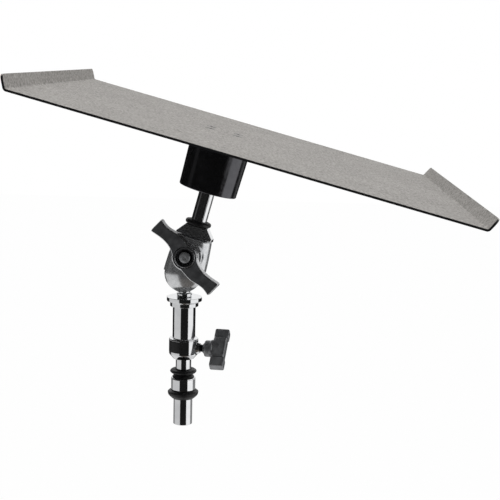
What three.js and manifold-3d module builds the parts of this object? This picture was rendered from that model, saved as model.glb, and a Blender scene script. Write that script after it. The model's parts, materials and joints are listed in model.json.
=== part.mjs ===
// Tethering table: a flat working platform on a tilting grip head, clamped to the stud of a stand's riser.
// Millimetres, +Z up. The origin is the centre of the riser's lower end. +X is the platform's long way down
// the slope, and -Y is the side that the clamping lever faces.

import * as THREE from 'three';
import { mergeVertices } from 'three/addons/utils/BufferGeometryUtils.js';
import Module from 'manifold-3d';

const wasm = await Module();
wasm.setup();

// Shared sizes: the stud that the whole trade uses, the play in every fit, and the cutters' overrun
const studDiameter = 15.88;
const fit = 0.3;
const overrun = 1;
const edgeBreak = 0.6;
const weldDistance = 0.0001;

// How finely round things are faceted, as sides to a full turn
const coarseSides = 24;
const fineSides = 32;
const arcSteps = 5;
const ringSteps = 4;

// Riser: the stand's top tube, its rubber rings and its collar, up to the stud that carries the head
const riserWall = 1.5;
const riserShownLength = 27.2;
const lowerRingDiameter = 31.6;
const lowerRingHeight = 9.2;
const collarDiameter = 25;
const collarHeight = 12.8;
const collarLedge = 5;
const gasketFootWall = 3.1;
const gasketTopWall = 1;
const gasketHeight = 2.9;
const upperRingDiameter = 27.6;
const upperRingHeight = 5.2;
const spigotShownLength = 11.1;

// Receiver: the turned body that drops over the riser's stud, with a web between its two bores
const mouthWall = 2.1;
const mouthTaperHeight = 5.3;
const hubWall = 6.7;
const hubHeight = 16.1;
const barrelWall = 3.4;
const barrelHeight = 33.6;
const stepDiameter = 28.9;
const stepHeight = 4.1;
const flangeDiameter = 35.8;
const flangeTaperHeight = 1.5;
const flangeHeight = 4;
const receiverWeb = 4.2;

// Clamp screw and its T-shaped knob, measured along the screw from the riser's centre line
const clampHeight = 11.5;
const clampTurnToFront = THREE.MathUtils.degToRad(8);
const bossFootDiameter = 13;
const bossTipWall = 0.6;
const bossProud = 2.4;
const screwDiameter = 8;
const screwNeckRelief = 0.7;
const padThickness = 3;
const knobStandoff = 3.2;
const knobNoseWall = 0.6;
const knobNoseLength = 2.8;
const knobCollarDiameter = 17;
const knobCollarLength = 6.3;
const knobBeadDiameter = 18.4;
const knobBeadLength = 1.6;
const knobHubLength = 13;
const knobHubSpan = 25;
const knobHubThickness = 12.4;
const knobBoreDepth = 13;
const knobPinDiameter = 2.4;
const knobPinFromNose = 5;
const wingSpan = 45.8;
const wingThickness = 7.8;
const wingPadLength = 10.7;
const wingPadProud = 0.9;
const wingLean = THREE.MathUtils.degToRad(49);

// Ball stem: pressed into the receiver, with the ball that the head tilts on
const shankDiameter = 12;
const shankLength = 16;
const shoulderDiameter = 15.6;
const shoulderHeight = 3.9;
const neckDiameter = 11;
const ballDiameter = 24;
const ballRise = 26.6;
const ballPlay = 0.4;

// Head: how it stood when photographed, and the reach of its slot to each side of upright
const headTilt = THREE.MathUtils.degToRad(14.8);
const headTurn = THREE.MathUtils.degToRad(-5.9);
const tiltReach = THREE.MathUtils.degToRad(60);

// Clamp shells: two halves that close on the ball, and the boss that the lever presses on
const shellSideWall = 8.8;
const shellFaceWall = 2.6;
const shellShoulderHalfWidth = 19;
const shellAboveBolt = 18.1;
const shellDrop = 2;
const shellCrownAngle = THREE.MathUtils.degToRad(78);
const seamGap = 2.4;
const slotPlay = 0.8;
const shellBossDiameter = 36;
const shellBossProud = 3.3;
const shellBossLength = 13.2;
const shellBossBevel = 1.5;

// Stud block: the forged top of the head, with a tongue that the shells hold
const blockDepth = 16;
const blockHeight = 12.3;
const blockShoulderHeight = 2.6;
const blockTopHalfWidth = 10.9;
const blockShoulderTaper = 0.3;
const tongueWidth = 26;
const tongueDepth = 10;
const tongueFromBolt = 2.4;
const dowelDiameter = 4;
const dowelInset = 4.5;
const dowelCover = 4;

// Table stud and its rubber ring
const studShankDiameter = 10;
const studShankLength = 9;
const studShownLength = 36.6;
const studRingDiameter = 26.4;
const studRingHeight = 4.9;

// Clamp bolt, lever and what they press on
const boltFromBall = 1.2;
const boltDiameter = 8;
const boltHeadWidth = 13;
const boltHeadHeight = 5.3;
const boltHeadSink = 2.7;
const washerDiameter = 22;
const washerThickness = 1.5;
const leverThickness = 8;
const leverHubDiameter = 24.5;
const leverBladeLength = 42.8;
const leverBladeHalfWidth = 11.4;
const leverBevel = 1.4;
const leverAngle = THREE.MathUtils.degToRad(146.9);
const leverRecessDiameter = 17.8;
const leverRecessDepth = 3.5;
const bushDiameter = 14;
const nutDiameter = 11.4;
const nutHeight = 3.6;
const nutDome = 1.1;
const nutStandoff = 1;

// Outline of one lever blade from the hub to the tip and back, as shares of its length and half width.
// The other blade is the same, turned half round.
const bladeOutlineShares = [
  [0.14, 1.05], [0.465, 1.04], [0.535, 0.96], [0.7, 0.74], [0.835, 0.62], [1.03, 0.76],
  [1.005, -0.76], [0.835, -0.59], [0.67, -0.43], [0.465, -0.39], [0.28, -0.62], [0.195, -0.87],
];

// Socket under the platform
const socketFootDiameter = 58.8;
const socketTopDiameter = 62;
const socketHeight = 59.3;
const socketFloor = 4.3;
const setScrewDiameter = 6;
const setScrewHeightShares = [0.25, 0.6];
const setScrewHexWidth = 3;
const setScrewHexDepth = 4;
const setScrewSink = 1;

// Platform: one bent sheet, set on the stud off its middle, so that it is wider down the slope than up it
const sheetThickness = 2;
const platformWidth = 406.4;
const platformDepth = 457.2;
const upperFoldFromStud = 171.8;
const lipLength = 12.3;
const lipFlare = THREE.MathUtils.degToRad(26);
const bendRadius = 1.6;
const sheetScrewDiameter = 5;
const sheetScrewHeadDiameter = 9;
const sheetScrewLength = 14;
const sheetScrewHexWidth = 3;
const sheetScrewHexDepth = 1.4;

// Diameters that follow from the stud and the clamp screw
const bore = studDiameter + 2 * fit;
const riserDiameter = bore + 2 * riserWall;
const mouthDiameter = bore + 2 * mouthWall;
const hubDiameter = bore + 2 * hubWall;
const barrelDiameter = bore + 2 * barrelWall;
const screwBoreDiameter = screwDiameter + 2 * fit;

// Heights that follow from the stack, up to the ball's centre
const lowerRingBase = riserShownLength;
const collarBase = lowerRingBase + lowerRingHeight + fit;
const collarTop = collarBase + collarHeight;
const riserTop = collarTop - collarLedge - fit;
const gasketBase = collarTop + fit;
const upperRingBase = gasketBase + gasketHeight + fit;
const receiverBase = upperRingBase + upperRingHeight + spigotShownLength;
const hubBase = receiverBase + mouthTaperHeight;
const hubTop = hubBase + hubHeight;
const barrelTop = hubTop + barrelHeight;
const stepTop = barrelTop + stepHeight;
const flangeBase = stepTop + flangeTaperHeight;
const receiverTop = flangeBase + flangeHeight;
const shankBase = receiverTop - shankLength;
const spigotTop = shankBase - receiverWeb - fit;
const ballCentre = receiverTop + ballRise;
const clampCentre = receiverBase + clampHeight;

// Places along the clamp screw, from the riser's centre line
const bossReach = hubDiameter / 2 + bossProud;
const knobStart = bossReach + knobStandoff;

// Sizes of the head, and heights above the ball's centre along the stud
const cavityRadius = ballDiameter / 2 + ballPlay;
const shellRadius = cavityRadius + shellSideWall;
const shellDepth = cavityRadius + shellFaceWall;
const shellBossDepth = shellDepth + shellBossProud;
const boltRise = cavityRadius + boltFromBall + boltDiameter / 2 + fit;
const shellHeight = boltRise + shellAboveBolt;
const tongueLength = shellAboveBolt - boltDiameter / 2 - tongueFromBolt;
const dowelRise = shellHeight - tongueLength / 2;
const dowelLength = 2 * (shellDepth - dowelCover);
const blockBase = shellHeight + fit;
const blockTop = blockBase + blockHeight;
const studBase = blockTop + fit;
const socketRise = studBase + studShownLength;
const socketTop = socketRise + socketHeight;
const socketBoreTop = socketTop - socketFloor;
const sheetTop = socketTop + fit + sheetThickness;
const sheetScrewCircle = (bore + socketTopDiameter) / 2;

// Depths in the head, outwards from its middle plane to the lever's side
const washerBack = shellBossDepth + fit;
const leverBack = washerBack + washerThickness + fit;
const leverFront = leverBack + leverThickness;
const recessFloor = leverFront - leverRecessDepth;
const nutBack = recessFloor + nutStandoff;
const boltEnd = nutBack + nutHeight - nutDome - fit;

// Colours and surfaces

const chrome = { color: 0xc9ccce, roughness: 0.1, metalness: 1 };
const castMetal = { color: 0x4c4d50, roughness: 0.55, metalness: 0.7 };
const blackRubber = { color: 0x17171a, roughness: 0.6, metalness: 0 };
const blackAnodised = { color: 0x121214, roughness: 0.35, metalness: 0.4 };
const texturedGrey = { color: 0x8e8b87, roughness: 0.7, metalness: 0.3 };
const brightSteel = { color: 0x9a9c9e, roughness: 0.3, metalness: 1 };
const blackSteel = { color: 0x222326, roughness: 0.45, metalness: 0.8 };
const brass = { color: 0xb08d4a, roughness: 0.35, metalness: 1 };

// Closing, joining and cutting solids

function closed(source) {
  const bare = source.index ? source.toNonIndexed() : source.clone();
  for (const name of Object.keys(bare.attributes)) {
    if (name !== 'position') bare.deleteAttribute(name);
  }
  const merged = mergeVertices(bare, weldDistance);
  const corners = merged.index.array;
  const kept = [];
  for (let i = 0; i < corners.length; i += 3) {
    const [a, b, c] = [corners[i], corners[i + 1], corners[i + 2]];
    if (a !== b && b !== c && c !== a) kept.push(a, b, c);
  }
  merged.setIndex(kept);
  if (signedVolume(merged) < 0) {
    for (let i = 0; i < kept.length; i += 3) {
      [kept[i], kept[i + 1]] = [kept[i + 1], kept[i]];
    }
    merged.setIndex(kept);
  }
  return merged;
}

function signedVolume(geometry) {
  const places = geometry.attributes.position;
  const corners = geometry.index.array;
  const a = new THREE.Vector3();
  const b = new THREE.Vector3();
  const c = new THREE.Vector3();
  let total = 0;
  for (let i = 0; i < corners.length; i += 3) {
    a.fromBufferAttribute(places, corners[i]);
    b.fromBufferAttribute(places, corners[i + 1]);
    c.fromBufferAttribute(places, corners[i + 2]);
    total += a.dot(b.cross(c));
  }
  return total;
}

function solid(geometry) {
  const tidy = closed(geometry);
  return new wasm.Manifold(new wasm.Mesh({
    numProp: 3,
    vertProperties: new Float32Array(tidy.attributes.position.array),
    triVerts: new Uint32Array(tidy.index.array),
  }));
}

function shapeOf(body) {
  const mesh = body.getMesh();
  const geometry = new THREE.BufferGeometry();
  geometry.setAttribute('position', new THREE.BufferAttribute(mesh.vertProperties, 3));
  geometry.setIndex(new THREE.BufferAttribute(mesh.triVerts, 1));
  return geometry;
}

function combine(base, { joins = [], cuts = [] }) {
  let body = solid(base);
  for (const piece of joins) body = body.add(solid(piece));
  for (const piece of cuts) body = body.subtract(solid(piece));
  return shapeOf(body);
}

// Basic forms. A turned form's outline is a list of [radius, height], about +Z.

function turned(outline, sides) {
  const points = outline.map(([radius, height]) => new THREE.Vector2(radius, height));
  if (outline[0][0] > 0) points.push(points[0].clone());
  return new THREE.LatheGeometry(points, sides).rotateX(Math.PI / 2);
}

function rod(diameter, low, high, sides = coarseSides) {
  const radius = diameter / 2;
  return turned([[0, low], [radius, low], [radius, high], [0, high]], sides);
}

function chamferedRod(diameter, low, high, chamfer, sides = coarseSides) {
  const radius = diameter / 2;
  return turned([
    [0, low], [radius - chamfer, low], [radius, low + chamfer],
    [radius, high - chamfer], [radius - chamfer, high], [0, high],
  ], sides);
}

function hexRod(widthAcrossFlats, low, high) {
  const hexSides = 6;
  return rod(widthAcrossFlats / Math.cos(Math.PI / hexSides), low, high, hexSides);
}

// A rubber ring round a rod: a straight bore and a rounded outside
function bumperRing(outerDiameter, boreDiameter, low, height) {
  const halfHeight = height / 2;
  const middle = low + halfHeight;
  const wall = (outerDiameter - boreDiameter) / 2;
  const bulge = Math.min(halfHeight, wall - edgeBreak);
  const flank = outerDiameter / 2 - bulge;
  const outline = [[boreDiameter / 2, low]];
  for (let i = 0; i <= ringSteps; i += 1) {
    const angle = -Math.PI / 2 + (Math.PI * i) / ringSteps;
    outline.push([flank + bulge * Math.cos(angle), middle + halfHeight * Math.sin(angle)]);
  }
  outline.push([boreDiameter / 2, low + height]);
  return turned(outline, fineSides);
}

// A flat outline in the X-Z plane, drawn towards -Y from depth near to depth far
function plate(outline, near, far, bevel = 0) {
  const shape = new THREE.Shape(outline.map(([x, z]) => new THREE.Vector2(x, z)));
  const bevelled = bevel > 0;
  return new THREE.ExtrudeGeometry(shape, {
    depth: far - near - 2 * bevel,
    steps: 1,
    bevelEnabled: bevelled,
    bevelSize: bevel,
    bevelOffset: -bevel,
    bevelThickness: bevel,
    bevelSegments: 1,
  }).rotateX(Math.PI / 2).translate(0, -near - bevel, 0);
}

function block(sizeX, sizeY, sizeZ, centreX, centreY, centreZ) {
  return new THREE.BoxGeometry(sizeX, sizeY, sizeZ).translate(centreX, centreY, centreZ);
}

// A form drawn about +Z, laid along -Y at a height
function cross(geometry, height) {
  return geometry.rotateX(Math.PI / 2).translate(0, 0, height);
}

// A geometry drawn about the clamp screw's own axis, as it lies in the receiver
function alongClamp(geometry) {
  return geometry.rotateY(Math.PI / 2).rotateZ(-clampTurnToFront).translate(0, 0, clampCentre);
}

function mesh(name, geometry, surface) {
  const piece = new THREE.Mesh(closed(geometry), new THREE.MeshStandardMaterial(surface));
  piece.geometry.computeVertexNormals();
  piece.name = name;
  return piece;
}

// The riser and what sits on it

function riser() {
  const group = new THREE.Group();
  const tubeRadius = riserDiameter / 2;
  const boreRadius = bore / 2;
  group.add(mesh('riser_tube', turned([
    [boreRadius, 0], [tubeRadius, 0], [tubeRadius, riserTop], [boreRadius, riserTop],
  ], fineSides), chrome));
  group.add(mesh('riser_spigot', turned([
    [0, 0], [studDiameter / 2, 0], [studDiameter / 2, spigotTop - edgeBreak],
    [studDiameter / 2 - edgeBreak, spigotTop], [0, spigotTop],
  ], fineSides), chrome));
  group.add(mesh('lower_bumper_ring',
    bumperRing(lowerRingDiameter, riserDiameter + 2 * fit, lowerRingBase, lowerRingHeight), blackRubber));
  const collarRadius = collarDiameter / 2;
  const seatTop = collarTop - collarLedge;
  group.add(mesh('riser_collar', turned([
    [tubeRadius + fit, collarBase], [collarRadius - edgeBreak, collarBase],
    [collarRadius, collarBase + edgeBreak], [collarRadius, collarTop - edgeBreak],
    [collarRadius - edgeBreak, collarTop], [boreRadius, collarTop],
    [boreRadius, seatTop], [tubeRadius + fit, seatTop],
  ], fineSides), chrome));
  group.add(mesh('collar_gasket', turned([
    [boreRadius, gasketBase], [boreRadius + gasketFootWall, gasketBase],
    [boreRadius + gasketTopWall, gasketBase + gasketHeight], [boreRadius, gasketBase + gasketHeight],
  ], fineSides), blackRubber));
  group.add(mesh('upper_bumper_ring',
    bumperRing(upperRingDiameter, bore, upperRingBase, upperRingHeight), blackRubber));
  return group;
}

// The receiver with its clamp screw boss, and the ball stem pressed into its top

function receiverShape() {
  const outside = turned([
    [0, receiverBase], [mouthDiameter / 2, receiverBase],
    [hubDiameter / 2, hubBase], [hubDiameter / 2, hubTop - edgeBreak],
    [hubDiameter / 2 - edgeBreak, hubTop], [barrelDiameter / 2, hubTop],
    [barrelDiameter / 2, barrelTop], [stepDiameter / 2, barrelTop],
    [stepDiameter / 2, stepTop], [flangeDiameter / 2, flangeBase],
    [flangeDiameter / 2, receiverTop - edgeBreak], [flangeDiameter / 2 - edgeBreak, receiverTop],
    [0, receiverTop],
  ], fineSides);
  const boss = alongClamp(turned([
    [0, 0], [bossFootDiameter / 2, 0], [bossFootDiameter / 2, hubDiameter / 2 - edgeBreak],
    [screwBoreDiameter / 2 + bossTipWall, bossReach], [0, bossReach],
  ], coarseSides));
  const studBore = rod(bore, receiverBase - overrun, spigotTop + fit, fineSides);
  const shankBore = rod(shankDiameter + 2 * fit, shankBase, receiverTop + overrun);
  const screwBore = alongClamp(rod(screwBoreDiameter, 0, bossReach + overrun));
  return combine(outside, { joins: [boss], cuts: [studBore, shankBore, screwBore] });
}

function ballStemShape() {
  const shoulderBase = receiverTop + fit;
  const shoulderTop = shoulderBase + shoulderHeight;
  const ballRadius = ballDiameter / 2;
  const neckRadius = neckDiameter / 2;
  const startAngle = -Math.acos(neckRadius / ballRadius);
  const outline = [
    [0, shankBase + fit], [shankDiameter / 2, shankBase + fit],
    [shankDiameter / 2, shoulderBase], [shoulderDiameter / 2 - edgeBreak, shoulderBase],
    [shoulderDiameter / 2, shoulderBase + edgeBreak], [shoulderDiameter / 2, shoulderTop - edgeBreak],
    [shoulderDiameter / 2 - edgeBreak, shoulderTop], [neckRadius, shoulderTop],
  ];
  const ballSteps = 2 * arcSteps + 1;
  for (let i = 0; i < ballSteps; i += 1) {
    const angle = startAngle + ((Math.PI / 2 - startAngle) * i) / ballSteps;
    outline.push([ballRadius * Math.cos(angle), ballCentre + ballRadius * Math.sin(angle)]);
  }
  outline.push([0, ballCentre + ballRadius]);
  return turned(outline, coarseSides);
}

function receiver() {
  const group = new THREE.Group();
  group.add(mesh('receiver_body', receiverShape(), chrome));
  group.add(mesh('ball_stem', ballStemShape(), chrome));
  return group;
}

// The clamp screw, its brass pad and its T-shaped knob

function knobShape() {
  const collarStart = knobStart + knobNoseLength;
  const beadStart = collarStart + knobCollarLength;
  const hubStart = beadStart + knobBeadLength;
  const knobMiddle = hubStart + knobHubLength / 2;
  const collarRadius = knobCollarDiameter / 2;
  const beadRadius = knobBeadDiameter / 2;
  const body = turned([
    [0, knobStart], [screwBoreDiameter / 2 + knobNoseWall, knobStart], [collarRadius, collarStart],
    [collarRadius, beadStart], [beadRadius, beadStart + edgeBreak], [beadRadius, hubStart - edgeBreak],
    [collarRadius, hubStart], [knobHubThickness / 2, knobMiddle], [0, knobMiddle],
  ], coarseSides);
  const hub = block(knobHubSpan, knobHubThickness, knobHubLength, 0, 0, knobMiddle);
  const wing = block(wingSpan, wingThickness, knobHubLength, 0, 0, knobMiddle);
  const padThick = wingThickness + 2 * wingPadProud;
  const padHeight = knobHubLength + wingPadProud;
  const padCentre = (wingSpan - wingPadLength) / 2;
  const pads = [-padCentre, padCentre].map((x) => (
    block(wingPadLength, padThick, padHeight, x, 0, hubStart + padHeight / 2)
  ));
  const boreCut = rod(screwBoreDiameter, knobStart - overrun, knobStart + knobBoreDepth);
  const turnedWing = [hub, wing, ...pads].map((piece) => piece.rotateZ(-wingLean));
  return combine(body, { joins: turnedWing, cuts: [boreCut, pinCut()] });
}

function pinCut() {
  return crossPin(knobPinDiameter + 2 * fit, knobCollarDiameter + 2 * overrun);
}

function crossPin(diameter, length) {
  return rod(diameter, -length / 2, length / 2, coarseSides / 2)
    .rotateX(Math.PI / 2).rotateZ(-wingLean).translate(0, 0, knobStart + knobPinFromNose);
}

function clampScrew() {
  const group = new THREE.Group();
  const padStart = studDiameter / 2 + fit;
  const screwStart = padStart + padThickness + fit;
  const screwRadius = screwDiameter / 2;
  const neckRadius = screwRadius - screwNeckRelief;
  const screwEnd = knobStart + knobBoreDepth - fit;
  const pad = chamferedRod(screwDiameter - 2 * fit, padStart, padStart + padThickness, edgeBreak);
  group.add(mesh('clamp_pad', alongClamp(pad), brass));
  const screw = turned([
    [0, screwStart], [screwRadius, screwStart], [screwRadius, bossReach],
    [neckRadius, bossReach + edgeBreak], [neckRadius, knobStart - edgeBreak],
    [screwRadius, knobStart], [screwRadius, screwEnd], [0, screwEnd],
  ], coarseSides);
  group.add(mesh('clamp_screw', alongClamp(combine(screw, { cuts: [pinCut()] })), blackSteel));
  group.add(mesh('clamp_knob', alongClamp(knobShape()), castMetal));
  const pin = crossPin(knobPinDiameter, knobCollarDiameter - 2 * edgeBreak);
  group.add(mesh('knob_pin', alongClamp(pin), brightSteel));
  return group;
}

// The clamp shells. One shell's outline in the X-Z plane about the ball: a round bottom, struck a little
// below the ball, and sides that draw in to the shoulders, all drawn in to a share of their full width

function shellOutline(share) {
  const radius = shellRadius * share;
  const shoulder = shellShoulderHalfWidth * share;
  const outline = [];
  const roundSteps = 4 * arcSteps;
  for (let i = 0; i <= roundSteps; i += 1) {
    const angle = Math.PI + (Math.PI * i) / roundSteps;
    outline.push([radius * Math.cos(angle), radius * Math.sin(angle) - shellDrop]);
  }
  outline.push([shoulder, shellHeight]);
  outline.push([-shoulder, shellHeight]);
  return outline;
}

// A form through a row of outlines that all have as many points, each at its own depth towards -Y
function lofted(layers) {
  const count = layers[0].outline.length;
  const places = [];
  const corners = [];
  for (const { outline, depth } of layers) {
    for (const [x, z] of outline) places.push(x, -depth, z);
  }
  for (let layer = 0; layer + 1 < layers.length; layer += 1) {
    for (let i = 0; i < count; i += 1) {
      const a = layer * count + i;
      const b = layer * count + ((i + 1) % count);
      corners.push(a, b, a + count, b, b + count, a + count);
    }
  }
  const last = (layers.length - 1) * count;
  const flat = layers[0].outline.map(([x, z]) => new THREE.Vector2(x, z));
  for (const [a, b, c] of THREE.ShapeUtils.triangulateShape(flat, [])) {
    corners.push(c, b, a, last + a, last + b, last + c);
  }
  const geometry = new THREE.BufferGeometry();
  geometry.setAttribute('position', new THREE.Float32BufferAttribute(places, 3));
  geometry.setIndex(corners);
  return geometry;
}

// What the ball, the neck, the tongue, the dowels and the bolt take out of a shell
function shellCuts() {
  const cavity = new THREE.SphereGeometry(cavityRadius, coarseSides, coarseSides / 2);
  const slotHalf = neckDiameter / 2 + slotPlay;
  const reach = 2 * shellRadius;
  const slot = [];
  const slotSteps = 2 * arcSteps;
  const along = (angle, distance, aside) => [
    distance * Math.sin(angle) + aside * Math.cos(angle),
    -distance * Math.cos(angle) + aside * Math.sin(angle),
  ];
  slot.push(along(-tiltReach, 0, -slotHalf), along(-tiltReach, reach, -slotHalf));
  for (let i = 0; i <= slotSteps; i += 1) {
    slot.push(along(-tiltReach + (2 * tiltReach * i) / slotSteps, reach + overrun, 0));
  }
  slot.push(along(tiltReach, reach, slotHalf), along(tiltReach, 0, slotHalf));
  const pocketBase = shellHeight - tongueLength;
  const pocketHeight = tongueLength + overrun;
  const pocket = block(tongueWidth + 2 * fit, tongueDepth + 2 * fit, pocketHeight,
    0, 0, pocketBase + pocketHeight / 2);
  const dowelHoles = dowels(dowelDiameter + 2 * fit, dowelLength + 2 * fit);
  const holeReach = shellBossDepth + overrun;
  const boltHole = cross(rod(boltDiameter + 2 * fit, -holeReach, holeReach), boltRise);
  return [cavity, plate(slot, -slotHalf, slotHalf), pocket, ...dowelHoles, boltHole];
}

function dowels(diameter, length) {
  const aside = tongueWidth / 2 - dowelInset;
  return [-aside, aside].map((x) => (
    cross(rod(diameter, -length / 2, length / 2, coarseSides / 2), dowelRise).translate(x, 0, 0)
  ));
}

function shellShape(side) {
  const seamAngle = Math.asin(seamGap / 2 / shellDepth);
  const layers = [];
  for (let i = 0; i <= arcSteps; i += 1) {
    const angle = seamAngle + (shellCrownAngle - seamAngle) * (i / arcSteps);
    layers.push({ outline: shellOutline(Math.cos(angle)), depth: shellDepth * Math.sin(angle) });
  }
  const bossRadius = shellBossDiameter / 2;
  const bossBack = shellBossDepth - shellBossLength;
  const boss = cross(turned([
    [0, bossBack], [bossRadius, bossBack], [bossRadius, shellBossDepth - shellBossBevel],
    [bossRadius - shellBossBevel, shellBossDepth], [0, shellBossDepth],
  ], fineSides), boltRise);
  const front = combine(lofted(layers), { joins: [boss], cuts: shellCuts() });
  if (side === 'front') return front;
  const rear = front.rotateZ(Math.PI);
  const pocketFloor = boltHeadSink - shellBossDepth;
  const headPocket = hexRod(boltHeadWidth + 2 * fit, -shellBossDepth - overrun, pocketFloor);
  return combine(rear, { cuts: [cross(headPocket, boltRise)] });
}

// The stud block, its dowels, the table stud and its ring

function studBlockShape() {
  const shoulder = blockBase + blockShoulderHeight;
  const shoulderHalfWidth = shellShoulderHalfWidth - blockShoulderTaper;
  const body = plate([
    [-shellShoulderHalfWidth, blockBase], [shellShoulderHalfWidth, blockBase],
    [shoulderHalfWidth, shoulder], [blockTopHalfWidth, blockTop],
    [-blockTopHalfWidth, blockTop], [-shoulderHalfWidth, shoulder],
  ], -blockDepth / 2, blockDepth / 2, edgeBreak);
  const tongueHeight = tongueLength + blockShoulderHeight;
  const tongue = block(tongueWidth, tongueDepth, tongueHeight,
    0, 0, blockBase - tongueLength + tongueHeight / 2);
  const shankBore = rod(studShankDiameter + 2 * fit, blockTop - studShankLength, blockTop + overrun);
  const dowelHoles = dowels(dowelDiameter + 2 * fit, blockDepth);
  return combine(body, { joins: [tongue], cuts: [shankBore, ...dowelHoles] });
}

function head() {
  const group = new THREE.Group();
  group.add(mesh('shell_front', shellShape('front'), chrome));
  group.add(mesh('shell_rear', shellShape('rear'), chrome));
  group.add(mesh('stud_block', studBlockShape(), chrome));
  const [left, right] = dowels(dowelDiameter, dowelLength);
  group.add(mesh('block_dowel_left', left, brightSteel));
  group.add(mesh('block_dowel_right', right, brightSteel));
  const studTop = socketBoreTop - fit;
  const studRadius = studDiameter / 2;
  const footRadius = studShankDiameter / 2;
  const footBase = blockTop - studShankLength + fit;
  group.add(mesh('table_stud', turned([
    [0, footBase], [footRadius, footBase], [footRadius, studBase], [studRadius, studBase],
    [studRadius, studTop - edgeBreak], [studRadius - edgeBreak, studTop], [0, studTop],
  ], fineSides), chrome));
  const ring = bumperRing(studRingDiameter, bore, studBase, studRingHeight);
  group.add(mesh('stud_bumper_ring', ring, blackRubber));
  const headInner = boltHeadSink - shellBossDepth - fit;
  const bolt = rod(boltDiameter, headInner, boltEnd);
  const boltHead = hexRod(boltHeadWidth, headInner - boltHeadHeight, headInner);
  group.add(mesh('clamp_bolt', cross(combine(bolt, { joins: [boltHead] }), boltRise), brightSteel));
  const nutRadius = nutDiameter / 2;
  const nutFront = nutBack + nutHeight;
  const nut = combine(turned([
    [0, nutBack], [nutRadius, nutBack], [nutRadius, nutFront - nutDome],
    [nutRadius - nutDome, nutFront], [0, nutFront],
  ], coarseSides), { cuts: [rod(boltDiameter + 2 * fit, nutBack - overrun, boltEnd + fit)] });
  group.add(mesh('lever_nut', cross(nut, boltRise), brightSteel));
  return group;
}

// The lever, its threaded bush and the washer that it presses on

function leverShape() {
  const outline = [];
  for (const turn of [0, Math.PI]) {
    const angle = leverAngle + turn;
    for (const [alongShare, acrossShare] of bladeOutlineShares) {
      const along = alongShare * leverBladeLength;
      const across = acrossShare * leverBladeHalfWidth;
      outline.push([
        along * Math.cos(angle) + across * Math.sin(angle),
        along * Math.sin(angle) - across * Math.cos(angle),
      ]);
    }
  }
  const blades = plate(outline, leverBack, leverFront, leverBevel);
  const hub = rod(leverHubDiameter, leverBack, leverFront, fineSides).rotateX(Math.PI / 2);
  const hole = rod(bushDiameter + 2 * fit, leverBack - overrun, leverFront).rotateX(Math.PI / 2);
  const recessTop = leverFront + overrun;
  const recess = rod(leverRecessDiameter, recessFloor, recessTop, fineSides).rotateX(Math.PI / 2);
  return combine(blades, { joins: [hub], cuts: [hole, recess] }).translate(0, 0, boltRise);
}

function lever() {
  const group = new THREE.Group();
  const boltBore = boltDiameter / 2 + fit;
  const ring = (outerDiameter, near, far) => cross(turned([
    [boltBore, near], [outerDiameter / 2, near], [outerDiameter / 2, far], [boltBore, far],
  ], coarseSides), boltRise);
  const washer = ring(washerDiameter, washerBack, washerBack + washerThickness);
  group.add(mesh('thrust_washer', washer, brightSteel));
  group.add(mesh('clamp_lever', leverShape(), castMetal));
  group.add(mesh('lever_bush', ring(bushDiameter, leverBack, recessFloor), blackSteel));
  return group;
}

// The platform, the socket under it and their screws, measured from the ball's centre along the stud

function sheetOutline() {
  const bend = Math.PI / 2 - lipFlare;
  const tangent = bendRadius * Math.tan(bend / 2);
  const outer = bendRadius + sheetThickness;
  const rise = lipLength - tangent;
  const side = (foldX, outward) => {
    const centreX = foldX - outward * tangent;
    const inside = [];
    const outside = [];
    for (let i = 0; i <= arcSteps; i += 1) {
      const angle = (bend * i) / arcSteps;
      const aside = Math.sin(angle) * outward;
      const lift = 1 - Math.cos(angle);
      inside.push([centreX + bendRadius * aside, sheetTop + bendRadius * lift]);
      outside.push([centreX + outer * aside, sheetTop - sheetThickness + outer * lift]);
    }
    const lean = [Math.sin(lipFlare) * outward * rise, Math.cos(lipFlare) * rise];
    const extend = ([x, z]) => [x + lean[0], z + lean[1]];
    inside.push(extend(inside[arcSteps]));
    outside.push(extend(outside[arcSteps]));
    return { inside, outside };
  };
  const right = side(platformWidth - upperFoldFromStud, 1);
  const left = side(-upperFoldFromStud, -1);
  return [
    ...right.outside, ...right.inside.reverse(),
    ...left.inside, ...left.outside.reverse(),
  ];
}

function sheetScrewPlaces() {
  const count = 4;
  return Array.from({ length: count }, (_, i) => {
    const angle = (Math.PI * (2 * i + 1)) / count;
    return [(sheetScrewCircle / 2) * Math.cos(angle), (sheetScrewCircle / 2) * Math.sin(angle)];
  });
}

// A countersunk screw's form, or with play and some height above its head the hole for it
function countersunk(top, length, play = 0, above = 0) {
  const headRadius = sheetScrewHeadDiameter / 2 + play;
  const shankRadius = sheetScrewDiameter / 2 + play;
  return turned([
    [0, top - length], [shankRadius, top - length], [shankRadius, top - sheetThickness],
    [headRadius, top], [headRadius, top + above], [0, top + above],
  ], coarseSides);
}

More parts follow.
